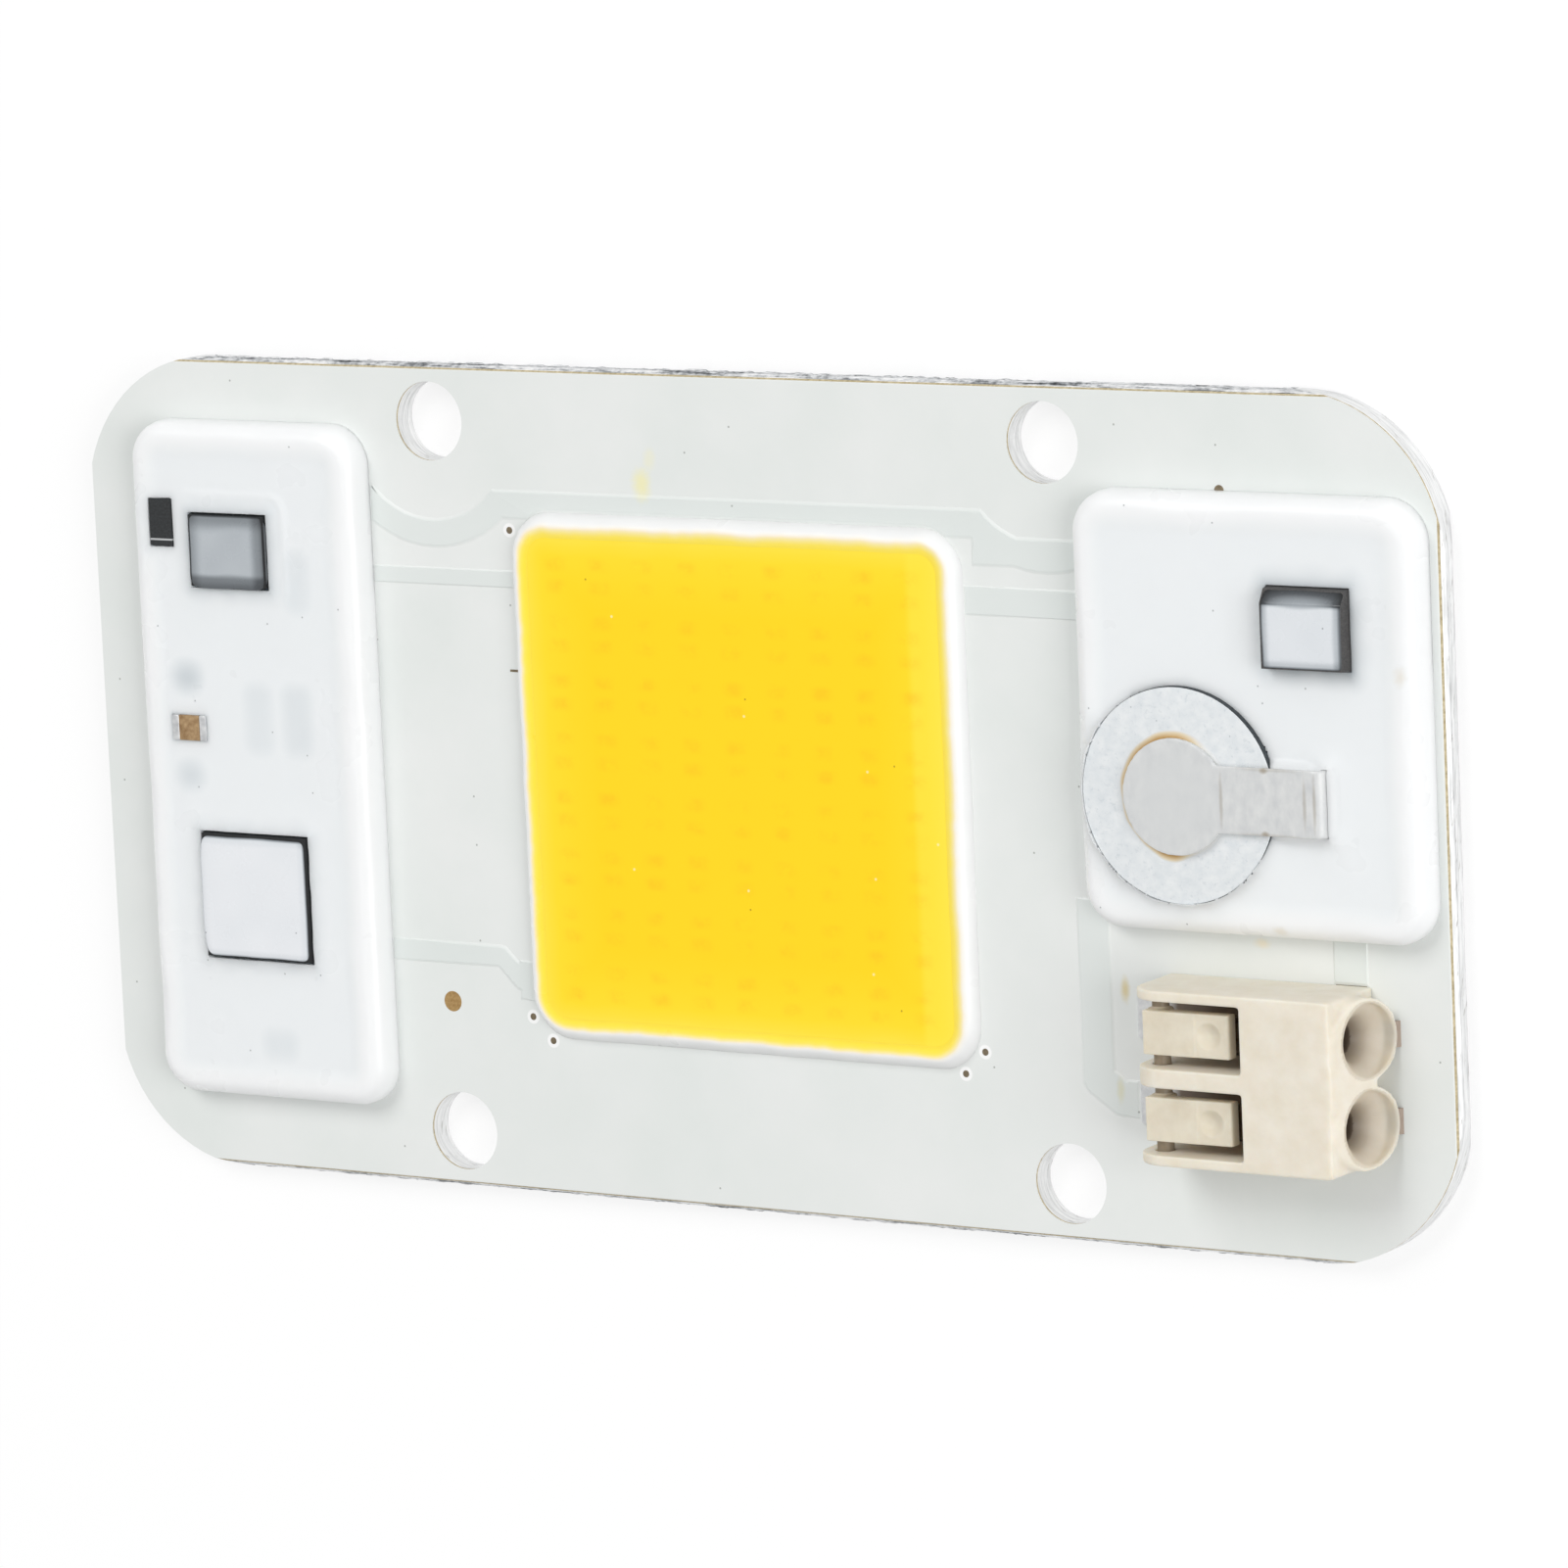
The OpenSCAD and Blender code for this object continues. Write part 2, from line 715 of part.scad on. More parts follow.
module capacitor_caps() {
  color(tinned) at(capacitor_at) chip_caps(capacitor_size, small_part_h);
}

module chip_resistors() {
  color(black) {
    for (p = small_resistors_at) at(p) chip_body(small_resistor_size, resistor_h);
    for (p = large_resistors_at) at(p) chip_body(large_resistor_size, resistor_h);
  }
}

module resistor_caps() {
  color(tinned) {
    for (p = small_resistors_at) at(p) chip_caps(small_resistor_size, resistor_h);
    for (p = large_resistors_at) at(p) chip_caps(large_resistor_size, resistor_h);
  }
}

// Silicone skin left on a package top, clear of its edges
module coat(size, h, bare_y = 0) {
  inset = 2 * (package_draft + coat_edge);
  translate([0, -bare_y / 2, h]) linear_extrude(coat_t)
    rounded_rect(size[0] - inset, size[1] - inset - bare_y, coat_edge);
}

module package_coats() {
  color(white) {
    at(driver_at) coat(driver_size, driver_h);
    at(power_at) coat(power_size, power_h);
    at(rectifier_at) coat(rectifier_size, rectifier_h, rectifier_bevel[0]);
  }
}

module varistor_disc() {
  color([0.32, 0.33, 0.35]) at(varistor_at)
    translate([0, 0, seat_gap + electrode_t])
      cylinder(h = varistor_h - seat_gap - 2 * electrode_t, d = varistor_d);
}

module varistor_electrodes() {
  color([0.88, 0.9, 0.92]) at(varistor_at) {
    rim = 0.15;
    translate([0, 0, varistor_h - electrode_t]) cylinder(h = electrode_t, d = varistor_d - 2 * rim);
    translate([0, 0, seat_gap]) cylinder(h = electrode_t, d = varistor_d - 2 * rim);
  }
}

// Solder under the strap's head and under the disc
module strap_solder() {
  color([0.72, 0.6, 0.4]) at(varistor_at) {
    ring = 0.2;
    translate([0, 0, varistor_h]) cylinder(h = seat_gap, r1 = strap_head_d / 2 + ring, r2 = strap_head_d / 2);
    cylinder(h = seat_gap, d = strap_head_d);
  }
}

// Strap: round head on the disc, tab over its edge and a leg down to the board
module varistor_strap() {
  low = varistor_h + seat_gap;
  bend = 2 * strap_t;
  color(tinned) at(varistor_at) {
    translate([0, 0, low]) cylinder(h = strap_t, d = strap_head_d);
    rotate([90, 0, 0]) linear_extrude(strap_w, center = true) {
      translate([0, low]) square([strap_reach - bend, strap_t]);
      translate([strap_reach - strap_t, 0]) square([strap_t, low + strap_t - bend]);
      intersection() {
        translate([strap_reach - bend, low + strap_t - bend]) difference() {
          circle(bend);
          circle(bend - strap_t);
        }
        translate([strap_reach - bend, low + strap_t - bend]) square(bend);
      }
    }
  }
}

module left_potting() {
  color(white) difference() {
    at(left_pot_at) soft_block(left_pot_l, left_pot_w, pot_h, pot_r, pot_edge);
    driver_ic();
    driver_ic_leads();
    power_ic();
    power_ic_leads();
    signal_diode();
    diode_leads();
    ceramic_capacitor();
    capacitor_caps();
    chip_resistors();
    resistor_caps();
  }
}

module right_potting() {
  color(white) difference() {
    at(right_pot_at) soft_block(right_pot_l, right_pot_w, pot_h, pot_r, pot_edge);
    bridge_rectifier();
    rectifier_leads();
    varistor_disc();
    varistor_electrodes();
    varistor_strap();
    strap_solder();
  }
}

// Side outline of the terminal, round at the key end and leaning at the wire end
module terminal_side() {
  polygon([[term_x0, 0], [term_x1, 0], [term_x1 - end_lean, term_h], [term_x0 + end_corner, term_h],
    [term_x0 + end_corner, term_h - end_corner], [term_x0, term_h - end_corner]]);
  translate([term_x0 + end_corner, term_h - end_corner]) circle(end_corner);
}

module terminal_blank() {
  intersection() {
    translate([0, term_y + term_w / 2 + past, 0]) rotate([90, 0, 0])
      linear_extrude(term_w + 2 * past) terminal_side();
    union() {
      translate([term_x0 - past, term_y - term_w / 2, -past])
        cube([term_l - lobe_l + past, term_w, term_h + 2 * past]);
      translate([term_x1 - 2 * lobe_l, term_y - pole_pitch / 2 + lobe_r / 2, web_z])
        cube([3 * lobe_l, pole_pitch - lobe_r, term_h]);
      for (y = pole_y)
        translate([term_x1 - 2 * lobe_l, y, wire_z]) rotate([0, 90, 0]) cylinder(h = 3 * lobe_l, r = lobe_r);
    }
  }
}

// Space taken from the housing by one pole
module pole_space(y) {
  throat_x = term_x1 - funnel_l;
  mouth_x = term_x1 - mouth_l;
  slot = strip_w + 2 * cage_gap;
  translate([term_x0 - past, y - window_w / 2, -past])
    cube([window_l + past, window_w, term_h + 2 * past]);
  translate([window_x1 - past, y - cage_w / 2 - cage_gap, -past])
    cube([cage_x1 + cage_gap - window_x1 + past, cage_w + 2 * cage_gap, cage_h + cage_gap + past]);
  translate([cage_x1 - past, y - slot / 2, -past])
    cube([term_x1 - cage_x1 + 2 * past, slot, past + sheet_t + cage_gap]);
  translate([cage_x1 - past, y, wire_z]) rotate([0, 90, 0])
    cylinder(h = throat_x - cage_x1 + 2 * past, d = throat_d);
  translate([throat_x, y, wire_z]) rotate([0, 90, 0])
    cylinder(h = mouth_x - throat_x, d1 = throat_d, d2 = mouth_d);
  translate([mouth_x, y, wire_z]) rotate([0, 90, 0]) cylinder(h = mouth_l + past, d = mouth_d);
  translate([pivot_x, y + window_w / 2 + stud_bite, pivot_z]) rotate([90, 0, 0])
    cylinder(h = window_w + 2 * stud_bite, d = stud_d + 2 * stud_clear);
}

module terminal_housing() {
  color(cream) translate([0, 0, z_front]) difference() {
    terminal_blank();
    for (y = pole_y) pole_space(y);
  }
}

// Key: a bar with a rounded free end and a finger dip, on a hub with two studs
module release_key(y) {
  stud_l = window_w + 2 * stud_bite - 2 * stud_clear;
  key_x1 = key_x0 + key_l;
  color(cream) translate([0, y, z_front]) difference() {
    union() {
      translate([0, key_w / 2, 0]) rotate([90, 0, 0]) linear_extrude(key_w) {
        translate([key_x0, key_top - key_t]) square([key_l - key_end_r, key_t]);
        translate([key_x0, key_top - key_t]) square([key_l, key_t - key_end_r]);
        translate([key_x1 - key_end_r, key_top - key_end_r]) circle(key_end_r);
        translate([pivot_x, pivot_z]) circle(hub_r);
      }
      translate([pivot_x, stud_l / 2, pivot_z]) rotate([90, 0, 0]) cylinder(h = stud_l, d = stud_d);
    }
    translate([key_x1 - key_dip_back, 0, key_top + key_dip_r - key_dip_depth]) sphere(key_dip_r);
  }
}

module release_key_1() {
  release_key(pole_y[0]);
}

module release_key_2() {
  release_key(pole_y[1]);
}

// Contact: a strip on the board with a foot at each end and a cage about the wire
module contact_clip(y) {
  cage_l = cage_x1 - cage_x0;
  color(tinned) translate([0, y, z_front]) {
    translate([term_x0 - foot_out, -strip_w / 2, 0]) cube([cage_x1 - term_x0 + foot_out, strip_w, sheet_t]);
    translate([cage_x1, -tab_w / 2, 0]) cube([term_x1 + tab_out - cage_x1, tab_w, sheet_t]);
    difference() {
      translate([cage_x0, -cage_w / 2, 0]) cube([cage_l, cage_w, cage_h]);
      translate([cage_x0 - past, -cage_w / 2 + sheet_t, sheet_t])
        cube([cage_l + 2 * past, cage_w - 2 * sheet_t, cage_h - 2 * sheet_t]);
    }
  }
}

module contact_clip_1() {
  contact_clip(pole_y[0]);
}

module contact_clip_2() {
  contact_clip(pole_y[1]);
}

// Clamp: a leaf welded to the strip that leans up and back to the key
module clamp_spring(y) {
  root_x = cage_x1 - spring_in;
  bend_x = root_x - spring_root;
  tip_z = key_top - key_t - spring_drop;
  tip_x = key_x0 + key_l - spring_back;
  color([0.75, 0.76, 0.78]) translate([0, y + spring_w / 2, z_front])
    rotate([90, 0, 0]) linear_extrude(spring_w)
      polygon([[root_x, sheet_t], [root_x, sheet_t + spring_t], [bend_x, sheet_t + spring_t],
        [tip_x + spring_tip, tip_z], [tip_x - spring_tip / 2, tip_z],
        [tip_x - spring_tip / 2, tip_z - spring_t], [tip_x + spring_tip - spring_t / 2, tip_z - spring_t],
        [bend_x - spring_t / 2, sheet_t]]);
}

module clamp_spring_1() {
  clamp_spring(pole_y[0]);
}

module clamp_spring_2() {
  clamp_spring(pole_y[1]);
}

// Solder at the free end of each foot
module solder_wedge(x, side, w) {
  translate([x, w / 2, 0]) rotate([90, 0, 0]) linear_extrude(w)
    polygon([[0, 0], [0, solder_h], [side * solder_l, 0]]);
}

module terminal_solder() {
  color([0.85, 0.85, 0.86]) for (y = pole_y) translate([0, y, z_front]) {
    solder_wedge(term_x0 - foot_out, -1, strip_w);
    solder_wedge(term_x1 + tab_out, 1, tab_w);
  }
}

base_plate();
dielectric_layer();
copper_layer();
solder_mask();
silicone_dam();
phosphor_gel();
led_dies();
bond_wires();
left_potting();
right_potting();
driver_ic();
driver_ic_leads();
power_ic();
power_ic_leads();
bridge_rectifier();
rectifier_leads();
signal_diode();
diode_leads();
ceramic_capacitor();
capacitor_caps();
chip_resistors();
resistor_caps();
package_coats();
varistor_disc();
varistor_electrodes();
varistor_strap();
strap_solder();
terminal_housing();
release_key_1();
release_key_2();
contact_clip_1();
contact_clip_2();
clamp_spring_1();
clamp_spring_2();
terminal_solder();
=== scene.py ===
import math

import bmesh
import bpy
from mathutils import Matrix, Vector, noise


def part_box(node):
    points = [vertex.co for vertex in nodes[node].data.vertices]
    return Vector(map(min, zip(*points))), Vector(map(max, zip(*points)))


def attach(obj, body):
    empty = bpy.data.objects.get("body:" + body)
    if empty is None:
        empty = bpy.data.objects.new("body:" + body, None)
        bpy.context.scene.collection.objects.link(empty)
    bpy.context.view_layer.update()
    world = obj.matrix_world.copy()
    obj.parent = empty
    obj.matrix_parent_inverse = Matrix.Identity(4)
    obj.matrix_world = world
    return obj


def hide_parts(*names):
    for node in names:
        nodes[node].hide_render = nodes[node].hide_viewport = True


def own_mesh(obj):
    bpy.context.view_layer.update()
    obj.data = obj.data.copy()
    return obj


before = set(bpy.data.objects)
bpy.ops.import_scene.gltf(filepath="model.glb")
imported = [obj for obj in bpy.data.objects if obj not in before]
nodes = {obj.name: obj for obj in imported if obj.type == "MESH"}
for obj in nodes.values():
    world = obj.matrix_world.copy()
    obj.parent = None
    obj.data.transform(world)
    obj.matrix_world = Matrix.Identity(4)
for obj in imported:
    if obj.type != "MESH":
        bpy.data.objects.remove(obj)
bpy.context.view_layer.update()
scene = bpy.context.scene
scene.view_settings.view_transform = "Standard"
mm = 0.001  # meshes are shaped in millimetres and scaled once at the end
print("frame loaded, nodes:", len(nodes))


def hexColor(text):
    def toLinear(c):
        return c / 12.92 if c <= 0.04045 else ((c + 0.055) / 1.055) ** 2.4
    r, g, b = (int(text[i:i + 2], 16) / 255 for i in (1, 3, 5))
    return (toLinear(r), toLinear(g), toLinear(b), 1)


now = {}  # tree, shader and object coordinates of the material in the making


def join(source, socket):
    now["tree"].links.new(source, socket)


# adds one node with its settings; links maps an input to a socket of another node
def addNode(kind, settings=None, links=None):
    node = now["tree"].nodes.new("ShaderNode" + kind)
    for name, value in (settings or {}).items():
        if isinstance(name, int) or name in node.inputs.keys():
            node.inputs[name].default_value = value
        else:
            setattr(node, name, value)
    for name, source in (links or {}).items():
        join(source, node.inputs[name])
    return node


# a sum on numbers and other nodes' sockets
def calc(operation, *values):
    node = addNode("Math", {"operation": operation})
    for socket, value in zip(node.inputs, values):
        if isinstance(value, (int, float)):
            socket.default_value = value
        else:
            join(value, socket)
    return node.outputs[0]


# how far a value has come from start to end, as 0 to 1; start may be the higher one
def reached(value, start, end, kind="LINEAR"):
    return addNode("MapRange", {"interpolation_type": kind, "From Min": start, "From Max": end},
                   {"Value": value}).outputs[0]


# a factor that a mesh carries on its vertices
def layer(name):
    return addNode("Attribute", {"attribute_name": name}).outputs["Fac"]


def axes(vector):
    return addNode("SeparateXYZ", None, {"Vector": vector}).outputs


# starts a principled material
def newMaterial(name, **sockets):
    mat = bpy.data.materials.new(name)
    mat.use_nodes = True
    now["tree"] = mat.node_tree
    now["shader"] = mat.node_tree.nodes["Principled BSDF"]
    now["coord"] = addNode("TexCoord").outputs["Object"]
    for socket, value in sockets.items():
        now["shader"].inputs[socket.replace("_", " ")].default_value = value
    return mat


# a colour ramp over a factor: stops are (place, hex colour)
def ramp(factor, stops):
    node = addNode("ValToRGB", None, {"Fac": factor})
    bar = node.color_ramp
    while len(bar.elements) < len(stops):
        bar.elements.new(0.5)
    for element, (place, color) in zip(bar.elements, stops):
        element.position = place
        element.color = hexColor(color)
    return node.outputs["Color"]


# noise with a grain of so many millimetres, the same every way or along X, Y and Z
def grain(size, detail=3.0, roughness=0.55, turn=(0, 0, 0)):
    sizes = size if isinstance(size, tuple) else (size, size, size)
    place = addNode("Mapping", {"Rotation": turn}, {"Vector": now["coord"]})
    stretch = addNode("Mapping", {"Scale": tuple(1 / (s * mm) for s in sizes)}, {"Vector": place.outputs[0]})
    return addNode("TexNoise", {"Scale": 1.0, "Detail": detail, "Roughness": roughness},
                   {"Vector": stretch.outputs[0]}).outputs["Fac"]


# sparse dots: spacing and dot size in millimetres, keep is the share of cells that hold one
def specks(spacing, size, keep):
    cells = addNode("TexVoronoi", {"voronoi_dimensions": "2D", "Scale": 1 / (spacing * mm)},
                    {"Vector": now["coord"]})
    dot = reached(cells.outputs["Distance"], size / spacing, 0.4 * size / spacing, "SMOOTHSTEP")
    pick = addNode("SeparateColor", None, {"Color": cells.outputs["Color"]})
    return calc("MULTIPLY", dot, calc("LESS_THAN", pick.outputs[0], keep))


# a soft oval or square spot on the board, its middle and half sizes in millimetres; inner is where it is full
def spot(at, half, ragged=0.0, inner=0.35, square=False):
    place = addNode("Mapping", {"vector_type": "TEXTURE", "Location": (at[0] * mm, at[1] * mm, 0),
                                "Scale": (half[0] * mm, half[1] * mm, 1)}, {"Vector": now["coord"]})
    flat = addNode("VectorMath", {"operation": "MULTIPLY", 1: (1, 1, 0)}, {0: place.outputs[0]})
    if square:
        sides = addNode("VectorMath", {"operation": "ABSOLUTE"}, {0: flat.outputs[0]})
        sides = axes(sides.outputs[0])
        away = calc("MAXIMUM", sides["X"], sides["Y"])
    else:
        away = addNode("VectorMath", {"operation": "LENGTH"}, {0: flat.outputs[0]}).outputs["Value"]
    if ragged:
        away = calc("MULTIPLY_ADD", grain(0.35), ragged, away)
    return reached(away, 1 + ragged / 2, inner, "SMOOTHSTEP")


# lays a colour, or another socket's colour, over one below by a factor
def over(factor, below, color, share=1.0):
    if share != 1.0:
        factor = calc("MULTIPLY", factor, share)
    mix = addNode("Mix", {"data_type": "RGBA"}, {0: factor})
    join(below, mix.inputs[6])
    if isinstance(color, str):
        mix.inputs[7].default_value = hexColor(color)
    else:
        join(color, mix.inputs[7])
    return mix.outputs[2]


def paint(color):
    join(color, now["shader"].inputs["Base Color"])


def bumpy(height, strength, depth):
    bump = addNode("Bump", {"Strength": strength, "Distance": depth * mm}, {"Height": height})
    join(bump.outputs[0], now["shader"].inputs["Normal"])


def roughen(factor, low, high):
    span = addNode("MapRange", {"To Min": low, "To Max": high}, {"Value": factor})
    join(span.outputs[0], now["shader"].inputs["Roughness"])


# an even material: one grain runs between two tones and, where given, roughens and lifts the surface
def evenFinish(name, size, dark, pale, relief=None, rough=None, detail=3.0, ends=(0.3, 0.7), **sockets):
    mat = newMaterial(name, **sockets)
    mottle = grain(size, detail)
    paint(ramp(mottle, [(ends[0], dark), (ends[1], pale)]))
    if rough:
        roughen(mottle, *rough)
    if relief:
        bumpy(mottle, *relief)
    return mat


def boxOf(nodeName):
    low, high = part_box(nodeName)
    return low / mm, high / mm


def midHalf(low, high):
    return (low + high) / 2, (high - low) / 2


def addObject(name, data):
    added = bpy.data.objects.new(name, data)
    scene.collection.objects.link(added)
    return added


# stands at a place with -Z along a direction
def aimed(place, way):
    return Matrix.Translation(place) @ way.to_track_quat("-Z", "Y").to_matrix().to_4x4()


# a CAD node's mesh in millimetres, merged
def copyOf(nodeName):
    bm = bmesh.new()
    bm.from_mesh(nodes[nodeName].data)
    bmesh.ops.scale(bm, vec=(1 / mm, 1 / mm, 1 / mm), verts=bm.verts)
    bmesh.ops.remove_doubles(bm, verts=bm.verts, dist=0.001)
    return bm


# takes out the edges that split a flat, among the chosen faces
def makeWhole(bm, faces):
    chosen = set(faces)
    inner = [e for e in bm.edges if len(e.link_faces) == 2 and chosen.issuperset(e.link_faces)]
    bmesh.ops.dissolve_edges(bm, edges=[e for e in inner if e.calc_face_angle(1) < 0.01])


def finishPiece(name, bm, mats, stands, body="module", angle=40):
    bmesh.ops.scale(bm, vec=(mm, mm, mm), verts=bm.verts)
    mesh = bpy.data.meshes.new(name)
    for mat in mats:
        mesh.materials.append(mat)
    bm.to_mesh(mesh)
    bm.free()
    mesh.polygons.foreach_set("use_smooth", [angle > 0] * len(mesh.polygons))
    mesh.set_sharp_from_angle(angle=math.radians(angle))
    piece = addObject(name, mesh)
    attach(piece, body)
    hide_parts(*stands)
    print(name, "made, faces:", len(mesh.polygons))
    return piece


def smoothStep(value, start, end):
    t = min(1, max(0, (value - start) / (end - start)))
    return t * t * (3 - 2 * t)


# distance inwards from a rounded rectangle's outline
def edgeDistance(x, y, mid, half, r):
    qx, qy = abs(x - mid.x) - half.x + r, abs(y - mid.y) - half.y + r
    return r - math.hypot(max(qx, 0), max(qy, 0)) - min(max(qx, qy), 0)


# flat grid whose corner squares are pressed into quarter discs
def planGrid(bm, low, high, corner, cell):
    mid, half = midHalf(low, high)
    cells = [max(2, round(2 * h / cell)) for h in half.xy]
    made = bmesh.ops.create_grid(bm, x_segments=cells[0], y_segments=cells[1], size=1)["verts"]
    for v in made:
        x, y = v.co.x * half.x, v.co.y * half.y
        a, b = (abs(x) - half.x) / corner + 1, (abs(y) - half.y) / corner + 1
        if a > 0 and b > 0:
            x = math.copysign(half.x - corner + corner * a * math.sqrt(1 - b * b / 2), x)
            y = math.copysign(half.y - corner + corner * b * math.sqrt(1 - a * a / 2), y)
        v.co = (mid.x + x, mid.y + y, 0)
    return made


def openEdges(bm):
    return [e for e in bm.edges if e.is_boundary]


# draws open edges out; gives the new vertices and the new open edges
def drawOut(bm, edges):
    made = bmesh.ops.extrude_edge_only(bm, edges=edges)["geom"]
    verts = [g for g in made if isinstance(g, bmesh.types.BMVert)]
    return verts, [g for g in made if isinstance(g, bmesh.types.BMEdge) and g.is_boundary]


# fills a ring of edges and keeps the holes in it open
def fillIn(bm, edges):
    bmesh.ops.triangle_fill(bm, edges=edges, use_beauty=True)


# walls from every open edge down to a level, and a floor
def closeUnder(bm, level):
    verts, rim = drawOut(bm, openEdges(bm))
    for v in verts:
        v.co.z = level
    fillIn(bm, rim)
    bmesh.ops.recalc_face_normals(bm, faces=bm.faces)


def smoothed(bm, verts, passes):
    for i in range(passes):
        bmesh.ops.smooth_vert(bm, verts=verts, factor=0.5, use_axis_x=True, use_axis_y=True, use_axis_z=True)


# remeshes and softens a copy of a node, as a mould or a press leaves it
def softened(nodeName, voxel, passes):
    bm = copyOf(nodeName)
    mesh = bpy.data.meshes.new("sharpCopy")
    bm.to_mesh(mesh)
    bm.free()
    sharp = addObject("sharpCopy", mesh)
    remesh = sharp.modifiers.new("remesh", "REMESH")
    remesh.mode = "VOXEL"
    remesh.voxel_size = voxel
    soft = bmesh.new()
    soft.from_mesh(sharp.evaluated_get(bpy.context.evaluated_depsgraph_get()).to_mesh())
    bpy.data.objects.remove(sharp)
    bpy.data.meshes.remove(mesh)
    smoothed(soft, soft.verts, passes)
    return soft


# smooth noise over the board's plane; each sheet is a pattern of its own
def ripple(x, y, scale, sheet):
    return noise.noise(Vector((x * scale, y * scale, sheet)))


zFront = boxOf("copper_layer")[1].z  # level front of the board

# camera at the photograph's angle
photoView = {"eye": (221.733, 67.344, 340.547), "target": (2.2121, 0.7125, 1.35), "roll": -106.673,
             "lens": 201.2, "sensor": 36, "clip": (0.01, 20)}
camData = bpy.data.cameras.new("photoCamera")
camData.lens = photoView["lens"]
camData.sensor_width = photoView["sensor"]
camData.clip_start, camData.clip_end = photoView["clip"]
cam = addObject("photoCamera", camData)
eye, target = Vector(photoView["eye"]) * mm, Vector(photoView["target"]) * mm
cam.matrix_world = aimed(eye, target - eye) @ Matrix.Rotation(math.radians(photoView["roll"]), 4, "Z")
scene.camera = cam

# white paper floor: most of what the camera sees is its own white, so the shadow stays but is faint
studio = {"floor": 6.0, "below": 0.02, "glow": 1.03, "ownWhite": 0.72, "world": 0.5}
bm = bmesh.new()
bmesh.ops.create_grid(bm, x_segments=1, y_segments=1, size=studio["floor"] / 2)
floorMesh = bpy.data.meshes.new("studioFloor")
bm.to_mesh(floorMesh)
bm.free()
floorMesh.transform(Matrix.Translation((0, 0, -studio["below"] * mm)))  # clear of the board's back
floor = addObject("studioFloor", floorMesh)
floorMat = newMaterial("whitePaper", Base_Color=hexColor("#fbfbfb"), Roughness=0.9)
rays = addNode("LightPath").outputs
seen = calc("MAXIMUM", rays["Is Camera Ray"], rays["Is Glossy Ray"])
seen = calc("MAXIMUM", seen, rays["Is Transmission Ray"])
glow = addNode("Emission", {"Strength": studio["glow"]})
share = calc("MULTIPLY", seen, studio["ownWhite"])
mix = addNode("MixShader", None, {0: share, 1: now["shader"].outputs[0], 2: glow.outputs[0]})
join(mix.outputs[0], now["tree"].nodes["Material Output"].inputs["Surface"])
floorMesh.materials.append(floorMat)

scene.world = bpy.data.worlds.new("studioWorld")
scene.world.use_nodes = True
backdrop = scene.world.node_tree.nodes["Background"].inputs
backdrop["Color"].default_value = (1, 1, 1, 1)
backdrop["Strength"].default_value = studio["world"]

lamps = {"keySoftbox": {"place": (-0.35, 0.85, 1.1), "size": 0.7, "power": 7.8},
         "fillSoftbox": {"place": (0.95, 0.0, 0.6), "size": 0.6, "power": 5.2}}
for name, cfg in lamps.items():
    lampData = bpy.data.lights.new(name, "AREA")
    lampData.shape = "SQUARE"
    lampData.size = cfg["size"]
    lampData.energy = cfg["power"]
    place = Vector(cfg["place"])
    addObject(name, lampData).matrix_world = aimed(place, -place)
print("camera, floor and light set")

# rolled aluminium: bright satin with long fine lines from the rolls
rolledAluminium = newMaterial("rolledAluminium", Metallic=1.0, Roughness=0.4)
rolled = grain((9, 0.16, 9))
paint(ramp(rolled, [(0.3, "#a9abad"), (0.5, "#d5d7d9"), (0.7, "#f0f1f2")]))
roughen(rolled, 0.5, 0.3)
bumpy(rolled, 0.35, 0.03)

# aluminium cut by a drill or router: pale, with fine level marks and a few darker scrapes
cutAluminium = newMaterial("cutAluminium", Metallic=0.35, Roughness=0.42)
cutter = grain((1.6, 1.6, 0.1), detail=4)
color = ramp(cutter, [(0.3, "#cfd0d0"), (0.5, "#eaebeb"), (0.7, "#fbfbfb")])
scrape = reached(grain((0.9, 0.9, 0.14), turn=(0.25, 0.2, 0)), 0.62, 0.72)
paint(over(scrape, color, "#8f8a80", 0.6))
bumpy(cutter, 0.3, 0.03)

# aluminium snapped along a score: torn streaks from near black to bright
snappedAluminium = newMaterial("snappedAluminium", Metallic=0.9, Roughness=0.5)
streaks = grain((2.6, 2.6, 0.12), detail=5, roughness=0.65)
torn = calc("MULTIPLY_ADD", grain((0.35, 0.35, 0.16), detail=4), 0.5, streaks)
paint(ramp(torn, [(0.52, "#3a3c3e"), (0.64, "#8f9295"), (0.74, "#dcdee0"), (0.9, "#ffffff")]))
bumpy(torn, 0.7, 0.08)

# etched copper with a gold flash: tan metal with a faint etched grain, dull brown except on the target
targetMark = {"at": (-17.3, -10.9), "half": (0.9, 0.9), "inner": 0.9}
goldFlashCopper = newMaterial("goldFlashCopper", Metallic=1.0, Roughness=0.42)
etch = grain(0.12)
dull = ramp(etch, [(0.3, "#8a7d68"), (0.7, "#a99a80")])
bright = ramp(etch, [(0.3, "#c79e66"), (0.7, "#e3bf86")])
paint(over(spot(**targetMark), dull, bright))
roughen(etch, 0.36, 0.5)
bumpy(etch, 0.25, 0.01)

